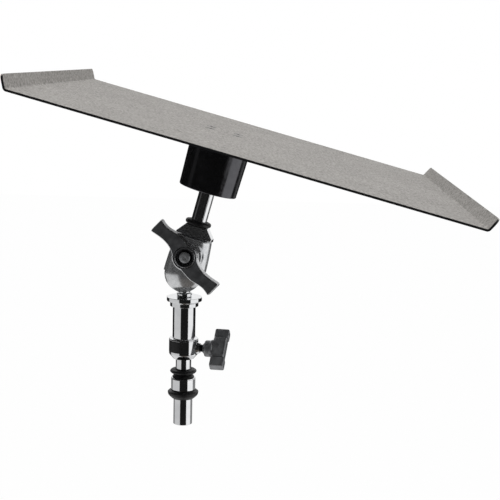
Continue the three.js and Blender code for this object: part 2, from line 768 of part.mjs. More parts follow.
function platform() {
  const group = new THREE.Group();
  const footRadius = socketFootDiameter / 2;
  const topRadius = socketTopDiameter / 2;
  const places = sheetScrewPlaces();
  const screwHoles = places.map(([x, y]) => rod(sheetScrewDiameter + 2 * fit,
    sheetTop - sheetScrewLength - fit, socketTop + overrun, coarseSides / 2).translate(x, y, 0));
  const setScrewPlaces = setScrewHeightShares.map((share) => {
    const climb = share * (socketBoreTop - socketRise);
    const skin = footRadius + (topRadius - footRadius) * (climb / socketHeight);
    return { rise: socketRise + climb, skin };
  });
  const setScrewHoles = setScrewPlaces.map(({ rise, skin }) => rod(setScrewDiameter + 2 * fit,
    0, skin + overrun, coarseSides / 2).rotateX(-Math.PI / 2).translate(0, 0, rise));
  const socketBody = turned([
    [0, socketRise], [footRadius - edgeBreak, socketRise], [footRadius, socketRise + edgeBreak],
    [topRadius, socketTop], [0, socketTop],
  ], fineSides);
  const socketBore = rod(bore, socketRise - overrun, socketBoreTop, fineSides);
  const socket = combine(socketBody, { cuts: [socketBore, ...screwHoles, ...setScrewHoles] });
  group.add(mesh('mount_socket', socket, blackAnodised));

  const sheet = plate(sheetOutline(), -platformDepth / 2, platformDepth / 2);
  const sinks = places.map(([x, y]) => (
    countersunk(sheetTop, sheetThickness + overrun, fit, overrun).translate(x, y, 0)
  ));
  group.add(mesh('platform_sheet', combine(sheet, { cuts: sinks }), texturedGrey));

  places.forEach(([x, y], i) => {
    const key = hexRod(sheetScrewHexWidth, sheetTop - sheetScrewHexDepth, sheetTop + overrun);
    const screw = combine(countersunk(sheetTop, sheetScrewLength), { cuts: [key] });
    group.add(mesh(`platform_screw_${i + 1}`, screw.translate(x, y, 0), blackSteel));
  });
  setScrewPlaces.forEach(({ rise, skin }, i) => {
    const end = skin - setScrewSink;
    const key = hexRod(setScrewHexWidth, end - setScrewHexDepth, end + overrun);
    const screw = combine(chamferedRod(setScrewDiameter, studDiameter / 2 + fit, end, edgeBreak),
      { cuts: [key] });
    group.add(mesh(`socket_set_screw_${i + 1}`, screw.rotateX(-Math.PI / 2).translate(0, 0, rise),
      blackSteel));
  });
  return group;
}

// The whole table as it stands: the head leans on its ball, and the platform faces straight ahead

const table = new THREE.Group();
table.add(riser());
table.add(receiver());
table.add(clampScrew());

const leaning = new THREE.Group();
leaning.position.z = ballCentre;
leaning.rotation.y = headTilt;
const turnedHead = new THREE.Group();
turnedHead.rotation.z = headTurn;
turnedHead.add(head());
turnedHead.add(lever());
leaning.add(turnedHead);
leaning.add(platform());
table.add(leaning);

export default table;
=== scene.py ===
"""Tethering table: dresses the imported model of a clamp-on working platform for a studio picture.

Each sub-assembly is a class. It draws its pieces in millimetres in a frame of its own, along its
own axis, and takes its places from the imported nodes, so that every piece sits where its solid is.
"""

import json
import logging
import math
from dataclasses import dataclass, field, replace
from enum import Enum
from typing import Any, Optional, Sequence

import bmesh
import bpy
from bmesh.types import BMesh
from mathutils import Matrix, Vector


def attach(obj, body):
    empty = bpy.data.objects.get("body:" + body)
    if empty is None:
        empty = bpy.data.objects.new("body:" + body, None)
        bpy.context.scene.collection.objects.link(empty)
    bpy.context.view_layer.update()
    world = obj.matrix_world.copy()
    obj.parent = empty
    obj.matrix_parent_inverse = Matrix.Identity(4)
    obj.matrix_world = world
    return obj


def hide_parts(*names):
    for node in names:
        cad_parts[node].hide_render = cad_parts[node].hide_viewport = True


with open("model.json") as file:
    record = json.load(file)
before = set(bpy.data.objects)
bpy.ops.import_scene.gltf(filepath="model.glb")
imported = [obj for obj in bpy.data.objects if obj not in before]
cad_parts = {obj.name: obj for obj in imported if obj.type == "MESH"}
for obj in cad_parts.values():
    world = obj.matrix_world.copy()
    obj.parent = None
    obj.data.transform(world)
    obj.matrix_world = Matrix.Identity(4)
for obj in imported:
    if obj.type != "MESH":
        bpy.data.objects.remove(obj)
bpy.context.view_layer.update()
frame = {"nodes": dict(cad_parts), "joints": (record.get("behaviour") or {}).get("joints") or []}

LOG = logging.getLogger("tethering_table")
MM = 0.001
FULL_TURN = 2 * math.pi


class Body(Enum):
    """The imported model's bodies that pieces ride on."""

    STAND = "stand"
    RECEIVER = "receiver"
    KNOB = "knob"
    HEAD = "head"
    WASHER = "lever_washer"
    LEVER = "lever"
    PLATFORM = "platform"


class Slot(Enum):
    """The record's material slots."""

    CHROME = "chrome_plate"
    RUBBER = "black_rubber"
    CASTING = "dark_casting"
    STEEL = "bright_steel"
    BLACK_STEEL = "black_steel"
    BRASS = "brass"
    ANODISED = "black_anodised"
    COAT = "grey_textured_coat"


# Node trees


def linear(colour: str) -> tuple[float, float, float, float]:
    """Turns an sRGB hex colour to linear light.

    Args:
        colour: Six hex digits, with or without a leading hash.

    Returns:
        Red, green, blue and an alpha of 1.
    """
    digits = colour.lstrip("#")
    shares = [int(digits[i:i + 2], 16) / 255 for i in (0, 2, 4)]
    light = [s / 12.92 if s <= 0.04045 else ((s + 0.055) / 1.055) ** 2.4 for s in shares]
    return (*light, 1.0)


def add_node(tree: bpy.types.NodeTree, kind: str, settings: Optional[dict] = None,
             links: Optional[dict] = None) -> bpy.types.Node:
    """Adds one node with its settings and links.

    Args:
        tree: The node tree that it goes into.
        kind: The node's type, such as ShaderNodeMath.
        settings: The node's own properties by name, and values of inputs by socket name or number.
        links: Input socket name or number to the output socket that feeds it.

    Returns:
        The new node.
    """
    node = tree.nodes.new(kind)
    for key, value in (settings or {}).items():
        if isinstance(key, str) and key.islower() and hasattr(node, key):
            setattr(node, key, value)
        else:
            node.inputs[key].default_value = value
    for key, socket in (links or {}).items():
        tree.links.new(socket, node.inputs[key])
    return node


# Finishes

NOISE_LOW, NOISE_HIGH = 0.3, 0.7  # The range that a noise mostly stays in


@dataclass(frozen=True)
class Grain:
    """A noise of a real size: even all round, in rings about an axis, or drawn out by a stretch."""

    size: float
    detail: float = 2.0
    rings: Optional[Sequence[float]] = None
    stretch: Optional[Sequence[float]] = None

    def added(self, tree: bpy.types.NodeTree, place: bpy.types.NodeSocket) -> bpy.types.NodeSocket:
        """Adds the noise to a material.

        Args:
            tree: The material's tree.
            place: Object coordinates, in metres.

        Returns:
            The noise, from 0 to 1.
        """
        settings = {"Scale": 1 / (self.size * MM), "Detail": self.detail}
        links = {"Vector": place}
        if self.rings is not None:
            along = add_node(tree, "ShaderNodeVectorMath",
                             {"operation": "DOT_PRODUCT", 1: self.rings}, {0: place})
            settings = {"noise_dimensions": "1D", **settings}
            links = {"W": along.outputs["Value"]}
        elif self.stretch is not None:
            drawn = add_node(tree, "ShaderNodeMapping", {"Scale": self.stretch}, links)
            links = {"Vector": drawn.outputs["Vector"]}
        return add_node(tree, "ShaderNodeTexNoise", settings, links).outputs["Fac"]


@dataclass(frozen=True)
class Finish:
    """A real surface: two tones and a gloss that wander over it, and fine marks with a depth in mm.

    The gloss is its lowest and highest roughness. It follows the tones' patches, or the marks.
    """

    name: str
    slot: Slot
    metallic: float
    tones: tuple[str, str]
    gloss: tuple[float, float]
    patches: Grain
    marks: Grain
    depth: float
    strength: float = 0.5
    gloss_follows_marks: bool = False

    def material(self) -> bpy.types.Material:
        """Gives the finish's material, made at its first use."""
        made = bpy.data.materials.get(self.name)
        if made is None:
            made = bpy.data.materials.new(self.name)
            made.use_nodes = True
            shader = made.node_tree.nodes["Principled BSDF"]
            shader.inputs["Base Color"].default_value = linear(self.tones[1])
            shader.inputs["Roughness"].default_value = self.gloss[0]
            shader.inputs["Metallic"].default_value = self.metallic
            place = add_node(made.node_tree, "ShaderNodeTexCoord").outputs["Object"]
            self.dress(made.node_tree, shader, place)
        return made

    def dress(self, tree: bpy.types.NodeTree, shader: bpy.types.Node,
              place: bpy.types.NodeSocket) -> None:
        """Adds the tones, the gloss and the marks.

        Args:
            tree: The material's tree.
            shader: Its Principled BSDF.
            place: Object coordinates, in metres.
        """
        patches, marks = self.patches.added(tree, place), self.marks.added(tree, place)
        self.tone(tree, shader, patches)
        low, high = self.gloss
        if low < high:
            rough = add_node(tree, "ShaderNodeMapRange", {
                "From Min": NOISE_LOW, "From Max": NOISE_HIGH, "To Min": low, "To Max": high,
            }, {"Value": marks if self.gloss_follows_marks else patches})
            tree.links.new(rough.outputs["Result"], shader.inputs["Roughness"])
        self.relief(tree, shader, marks)

    def tone(self, tree: bpy.types.NodeTree, shader: bpy.types.Node,
             pattern: bpy.types.NodeSocket) -> None:
        """Lets the colour wander between the two tones.

        Args:
            tree: The material's tree.
            shader: Its Principled BSDF.
            pattern: What the tones follow.
        """
        ramp = add_node(tree, "ShaderNodeValToRGB", links={"Fac": pattern})
        for stop, share, tone in zip(ramp.color_ramp.elements, (NOISE_LOW, NOISE_HIGH), self.tones):
            stop.position = share
            stop.color = linear(tone)
        tree.links.new(ramp.outputs["Color"], shader.inputs["Base Color"])

    def relief(self, tree: bpy.types.NodeTree, shader: bpy.types.Node,
               pattern: bpy.types.NodeSocket) -> None:
        """Adds the marks' relief.

        Args:
            tree: The material's tree.
            shader: Its Principled BSDF.
            pattern: The marks, from 0 to 1.
        """
        bump = add_node(tree, "ShaderNodeBump",
                        {"Strength": self.strength, "Distance": self.depth * MM},
                        {"Height": pattern})
        tree.links.new(bump.outputs["Normal"], shader.inputs["Normal"])


@dataclass(frozen=True)
class TexturedCoat(Finish):
    """A baked texture coat: close pebbles for relief, and grit with slow clouds for the tone."""

    pebble: float = 1.1
    smoothness: float = 0.6
    cloud_share: float = 0.12

    def dress(self, tree: bpy.types.NodeTree, shader: bpy.types.Node,
              place: bpy.types.NodeSocket) -> None:
        """Adds the pebbles, the grit and the clouds, as Finish.dress does."""
        pebbles = add_node(tree, "ShaderNodeTexVoronoi",
                           {"feature": "SMOOTH_F1", "Scale": 1 / (self.pebble * MM),
                            "Smoothness": self.smoothness}, {"Vector": place})
        blend = add_node(tree, "ShaderNodeMath", {"operation": "MULTIPLY_ADD", 1: self.cloud_share},
                         {0: self.patches.added(tree, place), 2: self.marks.added(tree, place)})
        evened = add_node(tree, "ShaderNodeMath",
                          {"operation": "SUBTRACT", 1: self.cloud_share / 2},
                          {0: blend.outputs["Value"]})
        self.tone(tree, shader, evened.outputs["Value"])
        self.relief(tree, shader, pebbles.outputs["Distance"])


# Frames of the sub-assemblies


@dataclass(frozen=True)
class Place:
    """A frame in which a sub-assembly is drawn in millimetres, with +Z along its own axis."""

    origin: Vector
    across: Vector
    axis: Vector

    @property
    def matrix(self) -> Matrix:
        """From millimetres in this frame to metres in the model's frame."""
        axis = self.axis.normalized()
        across = (self.across - axis * self.across.dot(axis)).normalized()
        turn = Matrix((across, axis.cross(across), axis)).transposed()
        return Matrix.Translation(self.origin) @ turn.to_4x4() @ Matrix.Scale(MM, 4)

    def span(self, node: str) -> tuple[Vector, Vector]:
        """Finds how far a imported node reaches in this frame.

        Args:
            node: The node's name.

        Returns:
            Its lowest and highest corner, in millimetres.
        """
        back = self.matrix.inverted()
        corners = [back @ vertex.co for vertex in frame["nodes"][node].data.vertices]
        return (Vector([min(c[i] for c in corners) for i in range(3)]),
                Vector([max(c[i] for c in corners) for i in range(3)]))


def joint(name: str) -> dict:
    """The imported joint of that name."""
    return next(j for j in frame["joints"] if j["name"] == name)


def stud_axis() -> Vector:
    """Direction of the leaning stud, which the platform turns about."""
    return Vector(joint("table_pan")["axis"]).normalized()


def upright() -> Place:
    """The stand's frame: its axis is vertical, through the model's origin."""
    return Place(Vector((0, 0, 0)), Vector((1, 0, 0)), Vector((0, 0, 1)))


def clamp_place() -> Place:
    """The clamp screw's frame, along the screw from the stand's centre line."""
    travel = Vector(joint("thumbscrew_travel")["axis"])
    return Place(Vector(joint("thumbscrew_turn")["pos_m"]), Vector((0, 0, -1)), travel)


def head_place() -> Place:
    """The head's frame: its origin is the ball's centre, +Z the stud, and -Y the lever's side."""
    back = Vector(joint("head_tilt")["axis"])
    return Place(Vector(joint("head_tilt")["pos_m"]), back.cross(stud_axis()), stud_axis())


def bolt_place() -> Place:
    """The clamp bolt's frame: +Z outwards on the lever's side, +Y along the stud."""
    head = head_place()
    back = Vector(joint("head_tilt")["axis"]).normalized()
    return Place(Vector(joint("lever_turn")["pos_m"]), head.across, -back)


def platform_place() -> Place:
    """The platform's frame: its origin is the ball's centre and +Y is level."""
    axis = stud_axis()
    return Place(Vector(joint("table_pan")["pos_m"]), Vector((0, 1, 0)).cross(axis), axis)


# Forms, all in millimetres

PLAY = 0.3  # From a pin or stud to the bore that it goes in
SAME = 1e-4  # Closer than this, two places are one
NEARLY = 1e-3  # The same, where a bend or a cut has moved them
ON_PLANE = 1e-5  # Closer than this, a corner lies on the plane that cuts its form
BOLT_HOLE = 4.3  # Radius of every hole that the clamp bolt goes through
HEX_KEY = 3.0  # Across flats of the small screws' hexagon sockets


def rounded(bm: BMesh, geom: Sequence[Any], offset: float, segments: int,
            affect: str = "EDGES") -> None:
    """Rounds edges or corners.

    Args:
        bm: The form.
        geom: Its edges or corners.
        offset: How far from them the rounding starts.
        segments: Its steps.
        affect: EDGES or VERTICES.
    """
    bmesh.ops.bevel(bm, geom=geom, offset=offset, offset_type="OFFSET", affect=affect,
                    segments=segments, profile=0.5, material=-1)


def softened(bm: BMesh, corners: Sequence[Any], rounds: int) -> None:
    """Smooths corners.

    Args:
        bm: The form.
        corners: Those of its corners that move.
        rounds: How often.
    """
    for _ in range(rounds):
        bmesh.ops.smooth_vert(bm, verts=corners, factor=0.5, use_axis_x=True, use_axis_y=True,
                              use_axis_z=True)


def thickened(bm: BMesh, rise: float) -> BMesh:
    """Raises a flat form along +Z.

    Args:
        bm: The form.
        rise: How far it is raised.

    Returns:
        The same form as a solid, with its faces outwards.
    """
    raised = bmesh.ops.extrude_face_region(bm, geom=bm.faces[:])["geom"]
    corners = [g for g in raised if isinstance(g, bmesh.types.BMVert)]
    bmesh.ops.translate(bm, vec=(0, 0, rise), verts=corners)
    bmesh.ops.recalc_face_normals(bm, faces=bm.faces[:])
    return bm


def turned(outline: Sequence[tuple[float, ...]], steps: int = 128, ring: bool = False,
           angle: float = FULL_TURN) -> BMesh:
    """Turns an outline about +Z.

    Args:
        outline: Radius, height and, where the corner is rounded, how far off the rounding starts.
        steps: Steps of a full turn.
        ring: Whether the outline closes on itself, as for a ring or tube.
        angle: How far round it goes.

    Returns:
        The form, closed and with its faces outwards.
    """
    bm = bmesh.new()
    corners = [bm.verts.new((point[0], 0, point[1])) for point in outline]
    for first, second in zip(corners, corners[1:] + corners[:1] if ring else corners[1:]):
        bm.edges.new((first, second))
    roundings: dict[float, list] = {}
    for point, corner in zip(outline, corners):
        if len(point) > 2:
            roundings.setdefault(point[2], []).append(corner)
    for rounding, alike in roundings.items():
        rounded(bm, alike, rounding, 6 if rounding > 1 else 4, "VERTICES")
    full = angle >= FULL_TURN
    bmesh.ops.spin(bm, geom=bm.verts[:] + bm.edges[:], cent=(0, 0, 0), axis=(0, 0, 1), angle=angle,
                   steps=steps, use_merge=full, use_duplicate=False)
    bmesh.ops.remove_doubles(bm, verts=bm.verts[:], dist=SAME)
    if not full:
        bmesh.ops.holes_fill(bm, edges=bm.edges[:], sides=0)
    bmesh.ops.recalc_face_normals(bm, faces=bm.faces[:])
    return bm


def prism(sides: int, across_flats: float, low: float, high: float, turn: float = 0.0) -> BMesh:
    """Makes an upright prism, such as a hexagon bar.

    Args:
        sides: Number of flats.
        across_flats: Distance from flat to flat.
        low: Height of its foot.
        high: Height of its top.
        turn: Turn about +Z, in radians.

    Returns:
        The form.
    """
    bm = bmesh.new()
    radius = across_flats / 2 / math.cos(math.pi / sides)
    bmesh.ops.create_circle(bm, cap_ends=True, segments=sides, radius=radius,
                            matrix=Matrix.Translation((0, 0, low)) @ Matrix.Rotation(turn, 4, "Z"))
    return thickened(bm, high - low)


def slab(size: Vector, centre: Vector, rounding: float = 0.0, segments: int = 3) -> BMesh:
    """Makes a box with rounded edges.

    Args:
        size: Its three sizes.
        centre: Its centre.
        rounding: Radius of the edges.
        segments: Steps of each rounding.

    Returns:
        The form.
    """
    bm = bmesh.new()
    bmesh.ops.create_cube(bm, size=1.0,
                          matrix=Matrix.Translation(centre) @ Matrix.Diagonal((*size, 1)))
    if rounding:
        rounded(bm, bm.edges[:], rounding, segments)
    return bm


def plate(outline: Sequence[tuple[float, ...]], low: float, high: float, soften: int = 0) -> BMesh:
    """Raises a flat outline into a plate along +Z.

    Args:
        outline: Across, up and, where the corner is rounded, how far off the rounding starts.
        low: Where the plate starts.
        high: Where it ends.
        soften: Rounds of smoothing that turn the corners without a rounding into one flowing line.

    Returns:
        The form, with its faces outwards.
    """
    bm = bmesh.new()
    corners = [bm.verts.new((point[0], point[1], low)) for point in outline]
    for first, second in zip(corners, corners[1:] + corners[:1]):
        bm.edges.new((first, second))
    kept = [(Vector((point[0], point[1], low)), point[2]) for point in outline if len(point) > 2]
    if soften:
        bmesh.ops.subdivide_edges(bm, edges=bm.edges[:], cuts=5)
        flowing = [v for v in bm.verts if all((v.co - at).length > SAME for at, _ in kept)]
        softened(bm, flowing, soften)
        for at, size in kept:
            corner = min(bm.verts, key=lambda v: (v.co - at).length)
            near = {v: corner for v in bm.verts
                    if v is not corner and (v.co - at).length < 1.5 * size}
            bmesh.ops.weld_verts(bm, targetmap=near)
    for rounding in sorted({size for _, size in kept}):
        there = [v for v in bm.verts
                 if any(size == rounding and (v.co - at).length < SAME for at, size in kept)]
        rounded(bm, there, rounding, 6, "VERTICES")
    bmesh.ops.contextual_create(bm, geom=bm.edges[:])
    return thickened(bm, high - low)


def rounded_rim(bm: BMesh, height: float, rounding: float, segments: int) -> None:
    """Rounds the edges that lie at one height and bound a level face.

    Args:
        bm: The form.
        height: The level face's height.
        rounding: Width of the rounding.
        segments: Its steps.
    """
    rim = [e for e in bm.edges if all(abs(v.co.z - height) < SAME for v in e.verts)
           and e.calc_face_angle(0) > math.radians(30)]
    rounded(bm, rim, rounding, segments)


def stepped(bm: BMesh, upward: bool, steps: Sequence[tuple[float, float]]) -> None:
    """Draws a plate's face in and out again and again, which gives its rim a draft and a chamfer.

    Args:
        bm: The plate.
        upward: Whether it is the upper face.
        steps: How far the face goes in and how far out in each step.
    """
    sign = 1 if upward else -1
    face = max(bm.faces, key=lambda f: sign * f.normal.z * f.calc_area())
    for inward, outward in steps:
        bmesh.ops.inset_region(bm, faces=[face], thickness=inward, use_boundary=True,
                               use_even_offset=True)
        bmesh.ops.translate(bm, verts=face.verts[:], vec=(0, 0, sign * outward))
    bm.normal_update()


def joined(*parts: BMesh) -> BMesh:
    """Puts forms into one.

    Args:
        parts: The forms; all but the first are used up.

    Returns:
        The first form, with the others in it.
    """
    first, *others = parts
    for other in others:
        carrier = bpy.data.meshes.new("carrier")
        other.to_mesh(carrier)
        first.from_mesh(carrier)
        bpy.data.meshes.remove(carrier)
        other.free()
    return first


def moved(bm: BMesh, matrix: Matrix) -> BMesh:
    """Moves a form by a matrix and gives it back."""
    bmesh.ops.transform(bm, matrix=matrix, verts=bm.verts[:])
    return bm


def modified(bm: BMesh, kind: str, settings: dict, tool: Optional[BMesh] = None) -> BMesh:
    """Runs one modifier on a form.

    Args:
        bm: The form, which is used up.
        kind: The modifier's type.
        settings: Its settings.
        tool: The form that a Boolean modifier works with, used up too.

    Returns:
        The form as the modifier leaves it.
    """
    made = []
    for form in filter(None, (bm, tool)):
        mesh = bpy.data.meshes.new("blank")
        form.to_mesh(mesh)
        form.free()
        blank = bpy.data.objects.new("blank", mesh)
        bpy.context.scene.collection.objects.link(blank)
        made.append(blank)
    modifier = made[0].modifiers.new("work", kind)
    for key, value in settings.items():
        setattr(modifier, key, value)
    if tool:
        modifier.object = made[1]
    worked = made[0].evaluated_get(bpy.context.evaluated_depsgraph_get()).to_mesh()
    result = bmesh.new()
    result.from_mesh(worked)
    for blank in made:
        mesh = blank.data
        bpy.data.objects.remove(blank)
        bpy.data.meshes.remove(mesh)
    return result


def carved(bm: BMesh, *cutters: BMesh) -> BMesh:
    """Cuts forms out of a form.

    Args:
        bm: The form.
        cutters: What is taken out, one after another.

    Returns:
        What is left.
    """
    for cutter in cutters:
        bm = modified(bm, "BOOLEAN", {"operation": "DIFFERENCE", "solver": "EXACT"}, cutter)
    return bm


def cast(bm: BMesh, voxel: float, rounds: int) -> BMesh:
    """Melts overlapping forms into one casting with soft edges and fillets.

    Args:
        bm: The overlapping forms.
        voxel: Size of the grid that they are melted on.
        rounds: How often the result is smoothed.

    Returns:
        The casting.
    """
    melted = modified(bm, "REMESH", {"mode": "VOXEL", "voxel_size": voxel})
    softened(melted, melted.verts[:], rounds)
    return melted


def dress_node(node: str, finish: Finish) -> None:
    """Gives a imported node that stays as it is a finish.

    Args:
        node: The node's name.
        finish: Its finish.
    """
    slots = frame["nodes"][node].data.materials
    slots.clear()
    slots.append(finish.material())
    LOG.info("%s keeps its shape in %s", node, finish.name)


# What each surface is made of, and what that gives the eye

UP = (0, 0, 1)

# Bright chrome on turned steel: a near mirror with faint drag lines round the axis and some haze
CHROME = Finish("Bright_chrome_plate_turned", Slot.CHROME, 1.0, ("D9DADC", "ECEDEE"),
                (0.049, 0.105), Grain(14.0, 4.0), Grain(0.5, 3.0, rings=UP), 0.003)
STUD_CHROME = replace(CHROME, name="Bright_chrome_plate_drawn", gloss=(0.063, 0.135),
                      marks=Grain(0.9, 3.0, rings=UP))
# Chrome over a ground forging: bright, with the gentle waves and the haze of a linished surface
FORGED = Finish("Chrome_plate_on_forging", Slot.CHROME, 0.97, ("D2D3D5", "E8E9EA"),
                (0.1564, 0.1904), Grain(3.0, 4.0), Grain(9.0, 1.0), 0.006, 0.6)
SHELL = replace(FORGED, name="Chrome_plate_satin_on_shell", metallic=0.83, gloss=(0.184, 0.224))
# Zinc die casting under a crinkle lacquer: satin, finely pebbled, paler where the lacquer is thin
CASTING = Finish("Zinc_casting_dark_crinkle", Slot.CASTING, 0.35, ("3E3F41", "58595B"),
                 (0.38, 0.56), Grain(7.0, 3.0), Grain(0.55, 3.0), 0.08, 0.8,
                 gloss_follows_marks=True)
KNOB = replace(CASTING, name="Zinc_casting_grey_lacquer", metallic=0.7, tones=("7A7B7D", "9A9B9D"),
               gloss=(0.26, 0.44))
# The casting where its edge is ground and rubbed by hands: pale metal with fine scratches
SCRATCHES = Grain(0.9, 5.0)
EDGE = Finish("Zinc_casting_ground_edge", Slot.CASTING, 1.0, ("B9BABC", "E2E3E4"), (0.22, 0.42),
              SCRATCHES, SCRATCHES, 0.02)
# Black nitrile rubber from a polished mould: a soft sheen, a faint bloom and a fine skin
RUBBER = Finish("Nitrile_rubber_moulded", Slot.RUBBER, 0.0, ("0B0B0C", "1A1A1C"), (0.38, 0.6),
                Grain(5.0, 5.0), Grain(0.4), 0.02, 0.6)
# Metals left as machined: tight tool marks under a satin gloss, and a little tarnish
STEEL = Finish("Steel_zinc_plated_turned", Slot.STEEL, 1.0, ("8A8C8E", "B4B6B8"), (0.18, 0.34),
               Grain(2.5, 4.0), Grain(0.35), 0.01, gloss_follows_marks=True)
NUT = replace(STEEL, name="Steel_zinc_plated_tumbled", metallic=0.7, gloss=(0.36, 0.52))
BLACK_STEEL = replace(STEEL, name="Steel_black_oxide", slot=Slot.BLACK_STEEL, metallic=0.8,
                      tones=("1C1D1F", "34353A"), gloss=(0.34, 0.5))
BRASS = replace(STEEL, name="Brass_turned", slot=Slot.BRASS, tones=("9C7A3A", "C39E57"),
                gloss=(0.24, 0.4))
# Black anodised aluminium, turned before its dip: deep satin black, feed marks catch the light
ANODISED = Finish("Aluminium_black_anodised", Slot.ANODISED, 0.95, ("515154", "5B5B5E"),
                  (0.1, 0.22), Grain(6.0, 4.0), Grain(0.6, rings=stud_axis()), 0.01)
# Baked-on grey texture coat: dry and closely pebbled, like fine cloth from a step away
COAT = TexturedCoat("Texture_coat_grey_baked", Slot.COAT, 0.0, ("686562", "A8A5A1"), (0.78, 0.78),
                    Grain(45.0, 3.0), Grain(2.2, 3.0), 0.25, 0.7)
# Painted shade on the sheet's cut edges and underside: the coat there is drawn satin black, as dark
# as it looks in shade, with the faint long grain of rolling
ROLLED = Grain(0.8, 4.0, stretch=(1.0, 0.06, 1.0))
SHEET_EDGE_SHADE = Finish("Sheet_edges_painted_shade_black", Slot.COAT, 0.2, ("0E0E0F", "1C1C1E"),
                    (0.36, 0.52), ROLLED, ROLLED, 0.01, 0.4)
# A matt black polyester label with nothing printed on it: flat, with a slight orange peel
PEEL = Grain(0.8)
LABEL = Finish("Polyester_label_matt_black", Slot.RUBBER, 0.0, ("0A0A0C", "131316"), (0.5, 0.5),
               PEEL, PEEL, 0.01)


# Sub-assemblies


@dataclass
class Assembly:
    """A sub-assembly: the frame that it is drawn in, and the body that it rides on."""

    place: Place
    body: Body

    def piece(self, name: str, bm: BMesh, finishes: Sequence[Finish], *replaces: str,
              sharp: float = 30.0, place: Optional[Place] = None,
              body: Optional[Body] = None) -> None:
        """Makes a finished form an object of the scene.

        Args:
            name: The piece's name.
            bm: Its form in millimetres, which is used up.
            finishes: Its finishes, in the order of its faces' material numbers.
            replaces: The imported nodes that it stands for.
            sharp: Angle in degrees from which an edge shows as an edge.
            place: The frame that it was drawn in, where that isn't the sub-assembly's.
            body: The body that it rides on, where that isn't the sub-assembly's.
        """
        moved(bm, (place or self.place).matrix)
        for face in bm.faces:
            face.smooth = True
        for edge in bm.edges:
            edge.smooth = edge.calc_face_angle(math.pi) < math.radians(sharp)
        mesh = bpy.data.meshes.new(name)
        bm.to_mesh(mesh)
        bm.free()
        for finish in finishes:
            mesh.materials.append(finish.material())
        piece = bpy.data.objects.new(name, mesh)
        bpy.context.scene.collection.objects.link(piece)
        piece.modifiers.new("Even_normals", "WEIGHTED_NORMAL").keep_sharp = True
        rides_on = (body or self.body).value
        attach(piece, rides_on)
        if replaces:
            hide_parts(*replaces)
        LOG.info("%s rides on %s: %d faces", name, rides_on, len(mesh.polygons))

    def bore_for(self, node: str) -> float:
        """Radius of the bore that a packed pin or stud on this axis goes in."""
        return self.place.span(node)[1].x + PLAY


@dataclass
class Riser(Assembly):
    """The stand's chromed top tube with its rubber rings and the collar that seats on it."""

    place: Place = field(default_factory=upright)
    body: Body = Body.STAND
    tube_wall: float = 1.5
    edge: float = 0.5
    collar_bore: float = 20.1

    def build(self) -> None:
        """Builds the riser's pieces from the stand's foot upwards."""
        self.tube()
        self.spigot()
        self.lower_ring()
        self.collar()
        self.gasket()
        self.upper_ring()

    def tube(self) -> None:
        """Turns the outer tube."""
        low, high = self.place.span("riser_tube")
        inner = high.x - self.tube_wall
        form = turned([(inner, low.z, 0.3), (high.x, low.z, self.edge), (high.x, high.z, 0.2),
                       (inner, high.z)], ring=True)
        self.piece("riser_tube_drawn", form, [CHROME], "riser_tube")

    def spigot(self) -> None:
        """Turns the inner stud that carries the receiver."""
        low, high = self.place.span("riser_spigot")
        form = turned([(0, low.z), (high.x, low.z, self.edge), (high.x, high.z, 0.8), (0, high.z)])
        self.piece("riser_spigot_drawn", form, [CHROME], "riser_spigot")

    def lower_ring(self) -> None:
        """Moulds the bowl-shaped ring under the collar."""
        low, high = self.place.span("lower_bumper_ring")
        tall = high.z - low.z
        bore = self.bore_for("riser_tube")
        form = turned([
            (bore, low.z, 0.3), (bore + 0.9, low.z, 0.5), (high.x - 2.2, low.z + 0.24 * tall, 2.0),
            (high.x, low.z + 0.52 * tall, 2.1), (high.x, low.z + 0.8 * tall, 1.6),
            (high.x - 3.0, high.z, 1.5), (bore, high.z, 0.3),
        ], ring=True)
        self.piece("lower_ring_moulded", form, [RUBBER], "lower_bumper_ring", sharp=50)

    def collar(self) -> None:
        """Turns the collar, with its fine shoulder line near the top."""
        low, high = self.place.span("riser_collar")
        seat = self.place.span("riser_tube")[1].z + PLAY
        bore = self.bore_for("riser_spigot")
        form = turned([
            (self.collar_bore / 2, low.z, 0.2), (high.x, low.z, 0.7), (high.x, high.z - 1.3, 0.15),
            (high.x - 0.25, high.z - 1.05, 0.1), (high.x - 0.25, high.z, 0.7), (bore, high.z, 0.2),
            (bore, seat), (self.collar_bore / 2, seat),
        ], ring=True)
        self.piece("collar_turned", form, [CHROME], "riser_collar")

    def gasket(self) -> None:
        """Moulds the cone-shaped gasket on the collar."""
        low, high = self.place.span("collar_gasket")
        bore = self.bore_for("riser_spigot")
        form = turned([
            (bore, low.z), (high.x, low.z, 0.4), (high.x - 0.4, low.z + 0.9, 0.4),
            (bore + 1.0, high.z, 0.4), (bore, high.z),
        ], ring=True)
        self.piece("gasket_moulded", form, [RUBBER], "collar_gasket", sharp=50)

    def upper_ring(self) -> None:
        """Moulds the lens-shaped ring under the receiver."""
        low, high = self.place.span("upper_bumper_ring")
        tall = high.z - low.z
        bore = self.bore_for("riser_spigot")
        form = turned([
            (bore, low.z, 0.3), (bore + 1.4, low.z, 0.5), (high.x - 0.7, low.z + 0.3 * tall, 1.2),
            (high.x, low.z + 0.62 * tall, 0.9), (high.x - 1.5, high.z - 0.3, 1.2),
            (bore + 1.6, high.z, 1.0), (bore, high.z, 0.3),
        ], ring=True)
        self.piece("upper_ring_moulded", form, [RUBBER], "upper_bumper_ring", sharp=50)


